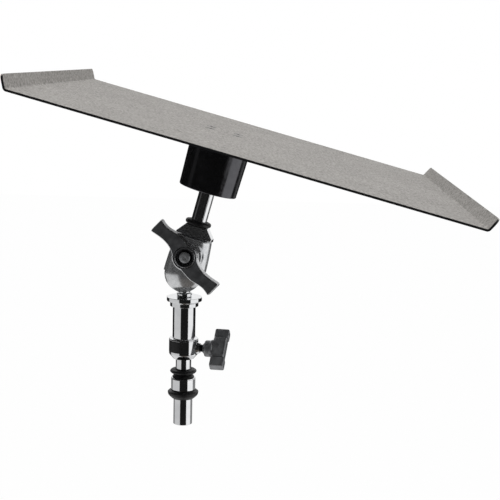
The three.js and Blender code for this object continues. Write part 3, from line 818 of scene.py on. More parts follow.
@dataclass
class Receiver(Assembly):
    """The turned body that drops over the riser's stud, its blank label and the ball pressed in."""

    place: Place = field(default_factory=upright)
    body: Body = Body.RECEIVER
    clamp: Place = field(default_factory=clamp_place)
    bore: float = 16.48
    mouth: float = 20.68
    mouth_height: float = 5.3
    hub: float = 29.88
    hub_height: float = 16.1
    barrel: float = 23.28
    barrel_height: float = 33.6
    step: float = 28.9
    step_height: float = 4.1
    taper_height: float = 1.5
    flange: float = 35.8
    shank_bore: float = 12.6
    shank_depth: float = 16.0
    boss_foot: float = 13.0
    boss_proud: float = 2.4
    screw_bore: float = 8.6
    label_foot: float = 2.6
    label_height: float = 12.0
    label_proud: float = 0.15
    label_sunk: float = 0.05
    label_angles: tuple[float, float] = (150.0, 266.0)
    stem_peg: float = 12.0
    stem_collar: float = 15.6
    stem_collar_top: float = 4.2
    stem_neck: float = 11.0

    def build(self) -> None:
        """Builds the receiver's pieces."""
        self.main_body()
        self.boss()
        self.label()
        self.stem()

    def main_body(self) -> None:
        """Turns the body with both its bores, and drills the clamp screw's hole."""
        low, high = self.place.span("receiver_body")
        hub_base = low.z + self.mouth_height
        hub_top = hub_base + self.hub_height
        barrel_top = hub_top + self.barrel_height
        step_top = barrel_top + self.step_height
        flange_base = step_top + self.taper_height
        bore_top = self.place.span("riser_spigot")[1].z + PLAY
        bore, shank = self.bore / 2, self.shank_bore / 2
        form = turned([
            (0, bore_top), (bore, bore_top), (bore, low.z, 0.5), (self.mouth / 2, low.z, 0.4),
            (self.hub / 2, hub_base, 0.8), (self.hub / 2, hub_top - 1.2, 0.1),
            (self.hub / 2 - 0.25, hub_top - 1.0, 0.1), (self.hub / 2 - 0.25, hub_top, 0.3),
            (self.barrel / 2, hub_top, 0.5), (self.barrel / 2, barrel_top, 0.5),
            (self.step / 2, barrel_top, 0.4), (self.step / 2, step_top, 0.4),
            (self.flange / 2, flange_base, 0.4), (self.flange / 2, high.z, 0.3),
            (shank, high.z, 0.3), (shank, high.z - self.shank_depth),
            (0, high.z - self.shank_depth),
        ], steps=160)
        screw = self.screw_bore / 2
        drill = turned([(0, 0), (screw, 0), (screw, 30), (0, 30)], steps=48)
        moved(drill, self.place.matrix.inverted() @ self.clamp.matrix)
        self.piece("receiver_turned", carved(form, drill), [CHROME], "receiver_body")

    def boss(self) -> None:
        """Turns the cone-shaped boss that the clamp screw runs in."""
        hub = self.hub / 2
        reach = hub + self.boss_proud
        bore, foot = self.screw_bore / 2, self.boss_foot / 2
        form = turned([
            (bore, hub - 6.0), (foot, hub - 6.0), (foot, hub - 0.9, 1.2),
            (bore + 0.9, reach - 0.5, 0.5), (bore + 0.7, reach, 0.2), (bore, reach, 0.2),
        ], ring=True)
        self.piece("clamp_boss_turned", form, [CHROME], place=self.clamp)

    def label(self) -> None:
        """Lays the blank label on the hub, from its left side round to the front."""
        low = self.place.span("receiver_body")[0]
        foot = low.z + self.mouth_height + self.label_foot
        inner, outer = self.hub / 2 - self.label_sunk, self.hub / 2 + self.label_proud
        start, end = (math.radians(angle) for angle in self.label_angles)
        form = turned([
            (inner, foot), (outer, foot, 0.05), (outer, foot + self.label_height, 0.05),
            (inner, foot + self.label_height),
        ], steps=72, ring=True, angle=end - start)
        moved(form, Matrix.Rotation(start, 4, "Z"))
        self.piece("hub_label_blank", form, [LABEL])

    def stem(self) -> None:
        """Turns the stem and its ball."""
        low, high = self.place.span("ball_stem")
        centre = joint("head_tilt")["pos_m"][2] / MM
        top = self.place.span("receiver_body")[1].z
        radius = high.z - centre
        peg, collar, neck = self.stem_peg / 2, self.stem_collar / 2, self.stem_neck / 2
        collar_top = top + self.stem_collar_top
        stem = turned([
            (0, low.z), (peg, low.z, 0.5), (peg, top + PLAY), (collar, top + PLAY, 0.5),
            (collar, collar_top, 0.7), (neck, collar_top, 0.5), (neck, centre - radius + 2.0, 0.4),
            (0, centre - radius + 3.0),
        ])
        ball = bmesh.new()
        bmesh.ops.create_uvsphere(ball, u_segments=96, v_segments=48, radius=radius,
                                  matrix=Matrix.Translation((0, 0, centre)))
        self.piece("ball_stem_turned", joined(stem, ball), [CHROME], "ball_stem")


@dataclass
class ClampScrew(Assembly):
    """The black clamp screw with its brass pad, and the T-shaped knob pinned to it."""

    place: Place = field(default_factory=clamp_place)
    body: Body = Body.KNOB
    thread_pitch: float = 1.25
    thread_depth: float = 0.55
    collar: float = 17.0
    collar_length: float = 6.3
    bead: float = 18.4
    bead_length: float = 1.6
    nose_length: float = 1.9
    hub_span: float = 25.0
    hub_thickness: float = 12.4
    wing_span: float = 45.8
    wing_thickness: float = 7.8
    pad_length: float = 10.7
    pad_proud: float = 0.9
    pad_gap: float = 0.6
    gap_depth: float = 0.5
    wing_lean: float = 49.0
    pin_place: float = 5.0
    voxel: float = 0.42

    def build(self) -> None:
        """Builds the clamp screw's pieces."""
        dress_node("clamp_pad", BRASS)
        self.screw()
        self.knob()
        self.pin()

    def screw(self) -> None:
        """Turns the screw, with a groove for every turn of its thread."""
        low, high = self.place.span("clamp_screw")
        outline: list[tuple[float, ...]] = [(0, low.z), (high.y - self.thread_depth, low.z)]
        along = low.z + self.thread_pitch / 2
        while along < self.place.span("clamp_knob")[0].z:
            outline += [(high.y, along),
                        (high.y - self.thread_depth, along + self.thread_pitch / 2)]
            along += self.thread_pitch
        outline += [(high.y - 0.1, along), (high.y - 0.1, high.z, 0.4), (0, high.z)]
        self.piece("clamp_screw_threaded", turned(outline, steps=64), [BLACK_STEEL], "clamp_screw",
                   sharp=40)

    def knob(self) -> None:
        """Casts the knob: nose, collar, bead, hub and the two wings with their end pads."""
        low, high = self.place.span("clamp_knob")
        collar, bead = self.collar / 2, self.bead / 2
        collar_start = low.z + self.nose_length
        bead_start = collar_start + self.collar_length
        hub_start = bead_start + self.bead_length
        hub_end = high.z - self.pad_proud
        middle = (hub_start + hub_end) / 2
        tall = hub_end - hub_start
        body = turned([
            (0, low.z), (4.9, low.z, 0.3), (5.4, low.z + 1.2, 0.4),
            (collar - 0.8, collar_start, 0.4), (collar, collar_start + 0.8, 0.5),
            (collar, bead_start, 0.3), (bead, bead_start, 0.7), (bead, hub_start, 0.7),
            (collar, hub_start, 0.3), (self.hub_thickness / 2, middle), (0, middle),
        ], steps=96)
        centre = Vector((0, 0, middle))
        hub = slab(Vector((self.hub_span, self.hub_thickness, tall)), centre, 2.4, 4)
        wing = slab(Vector((self.wing_span - 2, self.wing_thickness, tall)), centre, 1.2)
        aside = (self.wing_span - self.pad_length) / 2
        pad = Vector((self.pad_length, self.wing_thickness + 2 * self.pad_proud,
                      high.z - hub_start))
        pads = [slab(pad, Vector((x, 0, (hub_start + high.z) / 2)), 1.3) for x in (-aside, aside)]
        wings = moved(joined(hub, wing, *pads), self.lean())
        form = carved(cast(joined(body, wings), self.voxel, 3), *self.pad_gaps(middle, tall))
        self.piece("clamp_knob_cast", form, [KNOB], "clamp_knob", sharp=80)

    def pad_gaps(self, middle: float, tall: float) -> list[BMesh]:
        """Makes the cutters for the fine gap between the hub and each end pad.

        Args:
            middle: Height of the wings' middle.
            tall: How tall the wings are.

        Returns:
            The cutters.
        """
        cutters = []
        inner = self.wing_span / 2 - self.pad_length
        for x in (-inner, inner):
            centre = Vector((x, 0, middle))
            band = slab(Vector((self.pad_gap, 2 * self.hub_thickness, 2 * tall)), centre)
            core = slab(Vector((2 * self.pad_gap, self.wing_thickness - self.gap_depth,
                                tall - self.gap_depth)), centre)
            cutters.append(moved(carved(band, core), self.lean()))
        return cutters

    def lean(self) -> Matrix:
        """The wings' turn about the screw."""
        return Matrix.Rotation(-math.radians(self.wing_lean), 4, "Z")

    def pin(self) -> None:
        """Turns the cross pin with its domed ends."""
        low = self.place.span("clamp_knob")[0]
        half = self.collar / 2 + 0.1
        form = turned([(0, -half), (1.2, -half, 0.5), (1.2, half, 0.5), (0, half)], steps=32)
        moved(form, Matrix.Translation((0, 0, low.z + self.pin_place)) @ self.lean()
              @ Matrix.Rotation(math.pi / 2, 4, "X"))
        self.piece("knob_pin_domed", form, [STEEL], "knob_pin")


@dataclass
class GripHead(Assembly):
    """The two shells that close on the ball, with the stud block, the stud and the clamp bolt."""

    place: Place = field(default_factory=head_place)
    body: Body = Body.HEAD
    bolt: Place = field(default_factory=bolt_place)
    side_radius: float = 21.2
    shoulder: float = 19.0
    drop: float = 2.0
    height: float = 36.0
    depth: float = 15.0
    seam: float = 1.2
    cavity: float = 12.4
    slot_half: float = 6.3
    slot_reach: float = 60.0
    top_round: float = 3.0
    boss: float = 31.0
    boss_flare: float = 1.2
    boss_depth: float = 18.3
    block_depth: float = 16.0
    block_top: float = 10.9
    stud_foot: float = 10.0
    hexagon: float = 13.0
    hexagon_room: float = 0.6

    def build(self) -> None:
        """Builds the head's pieces."""
        self.shell("shell_front", 1)
        self.shell("shell_rear", -1)
        self.block()
        for node in ("block_dowel_left", "block_dowel_right"):
            dress_node(node, STEEL)
        self.stud()
        self.stud_ring()
        self.clamp_bolt()
        self.nut()

    def shell(self, node: str, side: int) -> None:
        """Makes one shell: half of an egg-shaped body with an elliptical section, cut for the ball.

        Args:
            node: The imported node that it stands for.
            side: 1 for the lever's side, -1 for the other.
        """
        form = bmesh.new()
        bmesh.ops.create_uvsphere(
            form, u_segments=128, v_segments=64, radius=1.0,
            matrix=Matrix.Diagonal((self.side_radius, self.depth, self.side_radius, 1))
            @ Matrix.Rotation(math.pi / 2, 4, "X"))
        bmesh.ops.delete(form, geom=[v for v in form.verts if v.co.z > SAME], context="VERTS")
        bmesh.ops.translate(form, vec=(0, 0, -self.drop), verts=form.verts[:])
        straight = self.height + self.drop - self.top_round
        narrowing = self.shoulder / self.side_radius
        for power, share in ((0.03, 0.15), (0.1, 0.2), (0.19, 0.2), (0.3, 0.22), (0.38, 0.23)):
            self.raise_rim(form, narrowing ** power, share * straight)
        self.raise_rim(form, 0.985, 0.6 * self.top_round)
        self.raise_rim(form, 0.94, 0.4 * self.top_round)
        bmesh.ops.contextual_create(form, geom=[e for e in form.edges if e.is_boundary])
        cut = bmesh.ops.bisect_plane(form, geom=form.verts[:] + form.edges[:] + form.faces[:],
                                     dist=ON_PLANE, plane_co=(0, -self.seam, 0), plane_no=(0, 1, 0),
                                     clear_outer=True)["geom_cut"]
        bmesh.ops.contextual_create(
            form, geom=[g for g in cut if isinstance(g, bmesh.types.BMEdge)])
        bmesh.ops.recalc_face_normals(form, faces=form.faces[:])
        rim = [e for e in form.edges if all(abs(v.co.y + self.seam) < SAME for v in e.verts)]
        rounded(form, rim, 0.2, 2)
        to_head = self.place.matrix.inverted() @ self.bolt.matrix
        ball = bmesh.new()
        bmesh.ops.create_uvsphere(ball, u_segments=72, v_segments=36, radius=self.cavity)
        pocket = slab(Vector((26.6, 10.6, 25.0)), Vector((0, 0, self.height)))
        form = carved(form, ball, self.neck_slot(), pocket, moved(self.bolt_hole(), to_head))
        both = joined(form, moved(self.shell_boss(side), to_head))
        if side < 0:
            moved(both, Matrix.Rotation(math.pi, 4, "Z"))
        self.piece(node + "_polished", both, [SHELL], node, sharp=32)

    @staticmethod
    def raise_rim(form: BMesh, narrowing: float, rise: float) -> None:
        """Draws a form's open rim upwards.

        Args:
            form: The form, open at its top.
            narrowing: How much narrower the new rim is, as a share.
            rise: How far it is raised.
        """
        rim = [e for e in form.edges if e.is_boundary]
        raised = bmesh.ops.extrude_edge_only(form, edges=rim)["geom"]
        corners = [g for g in raised if isinstance(g, bmesh.types.BMVert)]
        bmesh.ops.scale(form, vec=(narrowing, narrowing, 1), verts=corners)
        bmesh.ops.translate(form, vec=(0, 0, rise), verts=corners)

    @staticmethod
    def bolt_hole() -> BMesh:
        """The cutter for the clamp bolt's hole, along the bolt."""
        return turned([(0, -1), (BOLT_HOLE, -1), (BOLT_HOLE, 30), (0, 30)], steps=48)

    def shell_boss(self, side: int) -> BMesh:
        """Turns a shell's boss, stepped on its face and flared towards its foot.

        Args:
            side: 1 for the lever's side, -1 for the other, which has a hexagon for the bolt's head.

        Returns:
            The drilled boss, along the bolt.
        """
        rim, front = self.boss / 2, self.boss_depth
        boss = turned([
            (0, 5.3), (rim + self.boss_flare, 5.3), (rim, front - 1.7, 0.4),
            (rim - 0.8, front - 0.9, 0.3), (rim - 1.9, front - 0.9, 0.25),
            (rim - 2.3, front - 1.3, 0.25), (rim - 2.9, front - 1.3, 0.25),
            (rim - 3.6, front - 0.3, 0.5), (rim - 4.8, front, 0.5), (0, front),
        ], steps=192)
        level = self.height - (self.bolt.origin - self.place.origin).length / MM
        bmesh.ops.bisect_plane(boss, geom=boss.verts[:] + boss.edges[:] + boss.faces[:],
                               dist=ON_PLANE, plane_co=(0, level, 0), plane_no=(0, 1, 0),
                               clear_outer=True)
        bmesh.ops.holes_fill(boss, edges=[e for e in boss.edges if e.is_boundary], sides=0)
        bmesh.ops.recalc_face_normals(boss, faces=boss.faces[:])
        if side > 0:
            return carved(boss, self.bolt_hole())
        across = self.hexagon + self.hexagon_room
        return carved(boss, self.bolt_hole(), prism(6, across, front - 2.7, front + 2))

    def neck_slot(self) -> BMesh:
        """The fan-shaped cutter that lets the head tilt over the ball's neck."""
        reach, half = 34.0, self.slot_half
        limit = math.radians(self.slot_reach)

        def at(angle: float, distance: float, aside: float) -> tuple[float, float]:
            """A place at a distance down a ray from the ball, and aside from it."""
            return (distance * math.sin(angle) + aside * math.cos(angle),
                    -distance * math.cos(angle) + aside * math.sin(angle))

        outline = [at(-limit, 0, -half), at(-limit, reach, -half)]
        outline += [at(-limit + 2 * limit * i / 24, reach, 0) for i in range(25)]
        outline += [at(limit, reach, half), at(limit, 0, half)]
        return moved(plate(outline, -half, half), Matrix.Rotation(math.pi / 2, 4, "X"))

    def block(self) -> None:
        """Forges the stud block: a tapered top on a ledge, with the tongue that the shells hold."""
        low, high = self.place.span("stud_block")
        base = self.height + PLAY
        ledge = base + 2.6
        outline = [(-self.shoulder, base), (self.shoulder, base), (self.shoulder - 0.3, ledge, 0.5),
                   (self.block_top, high.z, 1.2), (-self.block_top, high.z, 1.2),
                   (0.3 - self.shoulder, ledge, 0.5)]
        half = self.block_depth / 2
        body = plate(outline, -half, half)
        rounded_rim(body, half, 1.6, 4)
        rounded_rim(body, -half, 1.6, 4)
        tongue = slab(Vector((26, base + 2 - low.z, 10)),
                      Vector((0, (low.z + base + 2) / 2, 0)), 0.5)
        facing = Place(self.place.origin, self.place.across, self.bolt.axis)
        bore = self.stud_foot / 2 + PLAY
        hole = turned([(0, high.z - 9), (bore, high.z - 9), (bore, high.z + 2), (0, high.z + 2)],
                      steps=64)
        moved(hole, facing.matrix.inverted() @ self.place.matrix)
        form = joined(carved(body, hole), tongue)
        self.piece("stud_block_forged", form, [FORGED], "stud_block", sharp=32, place=facing)

    def stud(self) -> None:
        """Turns the stud that the platform's socket drops on."""
        low, high = self.place.span("table_stud")
        shoulder = self.place.span("stud_block")[1].z + PLAY
        foot = self.stud_foot / 2
        form = turned([
            (0, low.z), (foot, low.z, 0.5), (foot, shoulder), (high.x, shoulder, 0.4),
            (high.x, high.z, 0.8), (0, high.z),
        ])
        self.piece("table_stud_turned", form, [STUD_CHROME], "table_stud")

    def stud_ring(self) -> None:
        """Moulds the thin ring at the stud's foot."""
        low, high = self.place.span("stud_bumper_ring")
        tall = high.z - low.z
        bore = self.bore_for("table_stud")
        form = turned([
            (bore, low.z + 0.2, 0.2), (high.x - 2.6, low.z, 1.2),
            (high.x, low.z + 0.15 * tall, 1.3), (high.x, low.z + 0.85 * tall, 1.3),
            (high.x - 2.6, high.z, 1.2), (bore, high.z - 0.2, 0.2),
        ], ring=True)
        self.piece("stud_ring_moulded", form, [RUBBER], "stud_bumper_ring", sharp=50)

    def clamp_bolt(self) -> None:
        """Makes the bolt with its chamfered hexagon head on the rear side."""
        low, high = self.bolt.span("clamp_bolt")
        radius = BOLT_HOLE - PLAY
        shank = turned([(0, low.z + 1), (radius, low.z + 1), (radius, high.z, 0.5), (0, high.z)],
                       steps=64)
        head = prism(6, self.hexagon, low.z, low.z + 5.3)
        corner = turned([
            (7.6, low.z - 1), (20, low.z - 1), (20, low.z + 4), (9.8, low.z + 1.1),
        ], steps=64, ring=True)
        moved(corner, Matrix.Translation((0, 0, -0.2)))
        form = joined(carved(head, corner), shank)
        self.piece("clamp_bolt_forged", form, [STEEL], "clamp_bolt", sharp=25, place=self.bolt)

    def nut(self) -> None:
        """Turns the round domed nut in the lever's recess."""
        low, high = self.bolt.span("lever_nut")
        form = turned([
            (0, high.z - 1.5), (BOLT_HOLE, high.z - 1.5), (BOLT_HOLE, low.z),
            (high.x, low.z, 0.3), (high.x, high.z - 0.9, 1.4), (high.x * 0.55, high.z - 0.1, 1.5),
            (2.2, high.z - 0.1, 0.2), (1.9, high.z - 0.5, 0.2), (0, high.z - 0.5),
        ], steps=96)
        self.piece("lever_nut_domed", form, [NUT], "lever_nut", sharp=40, place=self.bolt)


@dataclass
class Lever(Assembly):
    """The two-bladed lever that closes the shells, its bush and the washer that it presses on."""

    place: Place = field(default_factory=bolt_place)
    body: Body = Body.LEVER
    blade_length: float = 42.8
    half_width: float = 11.4
    angle: float = 147.9
    hub: float = 24.5
    recess: float = 17.8
    recess_depth: float = 3.5
    front_steps: tuple[tuple[float, float], ...] = ((0.7, 6.9), (0.6, 0.5))
    back_steps: tuple[tuple[float, float], ...] = ((0.4, 0.4),)
    tip_corners: tuple[int, int] = (5, 6)
    tip_round: float = 2.4
    worn_past: float = 2.4
    worn_lip: float = 0.7
    blade_shares: tuple[tuple[float, float], ...] = (
        (0.14, 1.05), (0.465, 1.04), (0.535, 0.96), (0.7, 0.74), (0.835, 0.62), (1.03, 0.76),
        (1.005, -0.76), (0.835, -0.59), (0.67, -0.43), (0.465, -0.39), (0.28, -0.62),
        (0.195, -0.87),
    )

    def build(self) -> None:
        """Builds the lever's pieces."""
        self.washer()
        self.blades()
        self.bush()

    def washer(self) -> None:
        """Turns the thrust washer."""
        low, high = self.place.span("thrust_washer")
        form = turned([(BOLT_HOLE, low.z, 0.2), (high.x, low.z, 0.4), (high.x, high.z, 0.4),
                       (BOLT_HOLE, high.z, 0.2)], ring=True)
        self.piece("thrust_washer_turned", form, [STEEL], "thrust_washer", body=Body.WASHER)

    def blades(self) -> None:
        """Casts the lever, with its edges ground bright and a ring groove round its recess."""
        low, high = self.place.span("clamp_lever")
        outline: list[tuple[float, ...]] = []
        for turn in (0.0, math.pi):
            angle = math.radians(self.angle) + turn
            for i, (along_share, across_share) in enumerate(self.blade_shares):
                along = along_share * self.blade_length
                across = across_share * self.half_width
                corner = (self.tip_round,) if i in self.tip_corners else ()
                outline.append((along * math.cos(angle) + across * math.sin(angle),
                                along * math.sin(angle) - across * math.cos(angle), *corner))
        fore, back = (sum(step[1] for step in steps)
                      for steps in (self.front_steps, self.back_steps))
        blades = plate(outline, low.z + back, high.z - fore, soften=14)
        stepped(blades, True, self.front_steps)
        stepped(blades, False, self.back_steps)
        hub = turned([(0, low.z + 0.05), (self.hub / 2, low.z + 0.05, 0.5),
                      (self.hub / 2, high.z - 0.05, 0.5), (0, high.z - 0.05)])
        whole = joined(*(carved(part, *self.cutters(low.z, high.z)) for part in (blades, hub)))
        for face in whole.faces:
            at = face.calc_center_median().to_2d()
            beyond = at.length - self.recess / 2
            outwards = face.normal.xy.dot(at) > 0
            worn = beyond > self.worn_past or (beyond > self.worn_lip and outwards)
            face.material_index = int(worn and abs(face.normal.z) < 0.98)
        self.piece("clamp_lever_cast", whole, [CASTING, EDGE], "clamp_lever", sharp=28)

    def cutters(self, low: float, high: float) -> tuple[BMesh, ...]:
        """Makes the cutters for the recess, the ring groove round it and the bush's hole.

        Args:
            low: Where the lever starts along the bolt.
            high: Where it ends.

        Returns:
            The cutters.
        """
        rim = self.recess / 2
        well = turned([
            (0, high - self.recess_depth), (rim, high - self.recess_depth), (rim, high - 0.4),
            (rim + 0.4, high + 0.01), (rim + 0.4, high + 2), (0, high + 2),
        ])
        groove = turned([
            (rim + 1.7, high - 0.45), (rim + 2.2, high - 0.45), (rim + 2.3, high + 0.45),
            (rim + 0.3, high + 0.45),
        ], ring=True, steps=144)
        hole = turned([(0, low - 1), (7.3, low - 1), (7.3, high - 2), (0, high - 2)], steps=64)
        return well, groove, hole

    def bush(self) -> None:
        """Turns the black bush at the bottom of the recess."""
        low, high = self.place.span("lever_bush")
        form = turned([(BOLT_HOLE, low.z, 0.2), (high.x, low.z, 0.3), (high.x, high.z, 0.3),
                       (BOLT_HOLE, high.z, 0.4)], ring=True)
        self.piece("lever_bush_turned", form, [BLACK_STEEL], "lever_bush")


@dataclass
class Platform(Assembly):
    """The bent sheet, the socket under it, and the screws that hold them together and in place."""

    place: Place = field(default_factory=platform_place)
    body: Body = Body.PLATFORM
    thickness: float = 2.0
    width: float = 406.4
    depth: float = 457.2
    upper_fold: float = 171.8
    lip_length: float = 12.3
    lip_flare: float = 26.0
    bend: float = 1.6
    corner: float = 6.0
    socket_foot: float = 58.8
    bore: float = 16.48
    screw_hole: float = 2.8
    screw_sink: float = 4.8
    key_depth: float = 1.4

    def build(self) -> None:
        """Builds the platform's pieces."""
        self.socket()
        self.sheet()
        for number in range(1, 5):
            self.sheet_screw(f"platform_screw_{number}")
        for number in (1, 2):
            self.set_screw(f"socket_set_screw_{number}")

    def centre_of(self, node: str) -> Vector:
        """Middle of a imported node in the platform's frame."""
        low, high = self.place.span(node)
        return (low + high) / 2

    @staticmethod
    def sideways(rise: float) -> Matrix:
        """Lays a form that was turned about +Z level along +Y, at a height."""
        return Matrix.Translation((0, 0, rise)) @ Matrix.Rotation(-math.pi / 2, 4, "X")

    def socket(self) -> None:
        """Turns the socket, and drills it for its set screws."""
        low, high = self.place.span("mount_socket")
        foot, top = self.socket_foot / 2, high.x
        bore_top = self.place.span("table_stud")[1].z + PLAY
        bore = self.bore / 2
        form = turned([
            (0, bore_top), (bore, bore_top), (bore, low.z, 0.8), (foot, low.z, 0.9),
            (top, high.z, 0.3), (0, high.z),
        ], steps=160)
        drills = []
        for number in (1, 2):
            rise = self.centre_of(f"socket_set_screw_{number}").z
            drill = turned([(0, 0), (3.3, 0), (3.3, 40), (0, 40)], steps=40)
            drills.append(moved(drill, self.sideways(rise)))
        self.piece("mount_socket_turned", carved(form, *drills), [ANODISED], "mount_socket")

    def sheet(self) -> None:
        """Bends the sheet, rounds its corners and sinks its screw holes."""
        top = self.place.span("platform_screw_1")[1].z
        flare = math.radians(self.lip_flare)
        right = self.width - self.upper_fold
        lean = Vector((math.sin(flare), math.cos(flare)))
        normal = Vector((lean.y, -lean.x))
        bend_angle = math.pi / 2 - flare
        shift = self.thickness * math.tan(bend_angle / 2)
        outline: list[tuple[float, ...]] = []
        inside_set = self.bend * math.tan(bend_angle / 2)
        outside_set = (self.bend + self.thickness) * math.tan(bend_angle / 2)
        for fold, outward in ((right, 1), (-self.upper_fold, -1)):
            tip = Vector((fold + outward * lean.x * self.lip_length,
                          top + lean.y * self.lip_length))
            back = tip + Vector((outward * normal.x, normal.y)) * self.thickness
            corner = (fold + outward * shift, top - self.thickness, outside_set)
            side = [corner, (back.x, back.y), (tip.x, tip.y), (fold, top, inside_set)]
            outline += side if outward > 0 else side[::-1]
        facing = Place(self.place.origin, self.place.across, Vector((0, -1, 0)))
        half = self.depth / 2
        form = plate(outline, -half, half)
        tips = [e for e in form.edges if abs(abs(e.verts[0].co.z) - half) < NEARLY
                and abs(e.verts[0].co.z - e.verts[1].co.z) < NEARLY
                and abs(e.calc_length() - self.thickness) < NEARLY]
        rounded(form, tips, self.corner, 5)
        sinks = []
        hole, rim = self.screw_hole, self.screw_sink
        for number in range(1, 5):
            at = self.centre_of(f"platform_screw_{number}")
            sink = turned([(0, top - 4), (hole, top - 4), (hole, top - 2), (rim, top + 0.02),
                           (rim, top + 2), (0, top + 2)], steps=48)
            moved(sink, Matrix.Translation((at.x, at.y, 0)))
            sinks.append(moved(sink, facing.matrix.inverted() @ self.place.matrix))
        form = carved(form, *sinks)
        bmesh.ops.dissolve_degenerate(form, dist=NEARLY, edges=form.edges[:])
        # The edges and the underside take the black painted shade; the top and the lips' inner
        # faces take the coat
        for face in form.faces:
            face.material_index = 0 if self.on_top(face, top) else 1
        self.piece("platform_sheet_bent", form, [COAT, SHEET_EDGE_SHADE], "platform_sheet", place=facing)

    def on_top(self, face: bmesh.types.BMFace, top: float) -> bool:
        """Tells the coated side from the edges and the underside, which are drawn black as painted
        shade.

        Args:
            face: A face of the sheet, drawn with +Y along the stud.
            top: Height of the sheet's top.

        Returns:
            Whether it takes the coat rather than the black painted shade.
        """
        middle = face.calc_center_median()
        inwards = Vector((-math.copysign(1, middle.x), 0.9, 0)).dot(face.normal) > 0.3
        return middle.y > top - 0.05 and abs(face.normal.z) < 0.5 and inwards

    def sheet_screw(self, node: str) -> None:
        """Makes a countersunk screw with a hexagon socket.

        Args:
            node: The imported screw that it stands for.
        """
        low, high = self.place.span(node)
        at = (low + high) / 2
        length = high.z - low.z
        form = turned([(0, -length), (2.5, -length, 0.4), (2.5, -2.0), (4.5, -0.15, 0.1),
                       (4.4, 0, 0.1), (0, 0)], steps=64)
        form = carved(form, prism(6, HEX_KEY, -self.key_depth, 1.0))
        moved(form, Matrix.Translation((at.x, at.y, high.z)))
        self.piece(node + "_machined", form, [BLACK_STEEL], node, sharp=25)

    def set_screw(self, node: str) -> None:
        """Makes a set screw with a hexagon socket, sunk in the socket's side.

        Args:
            node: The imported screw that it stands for.
        """
        low, high = self.place.span(node)
        form = turned([(0, low.y), (3.0, low.y, 0.5), (3.0, high.y, 0.5), (0, high.y)], steps=48)
        form = carved(form, prism(6, HEX_KEY, high.y - 4, high.y + 1))
        moved(form, self.sideways((low.z + high.z) / 2))
        self.piece(node + "_machined", form, [BLACK_STEEL], node, sharp=25)


# The studio


@dataclass(frozen=True)
class Panel:
    """A soft-edged part of the room that polished metal shows, by its direction from the object."""

    colour: str
    strength: float
    azimuths: tuple[float, float]
    rises: tuple[float, float]
    softness: float = 5.0


@dataclass(frozen=True)
class Lamp:
    """A square soft box aimed at the object."""

    name: str
    position: tuple[float, float, float]
    size: float
    power: float


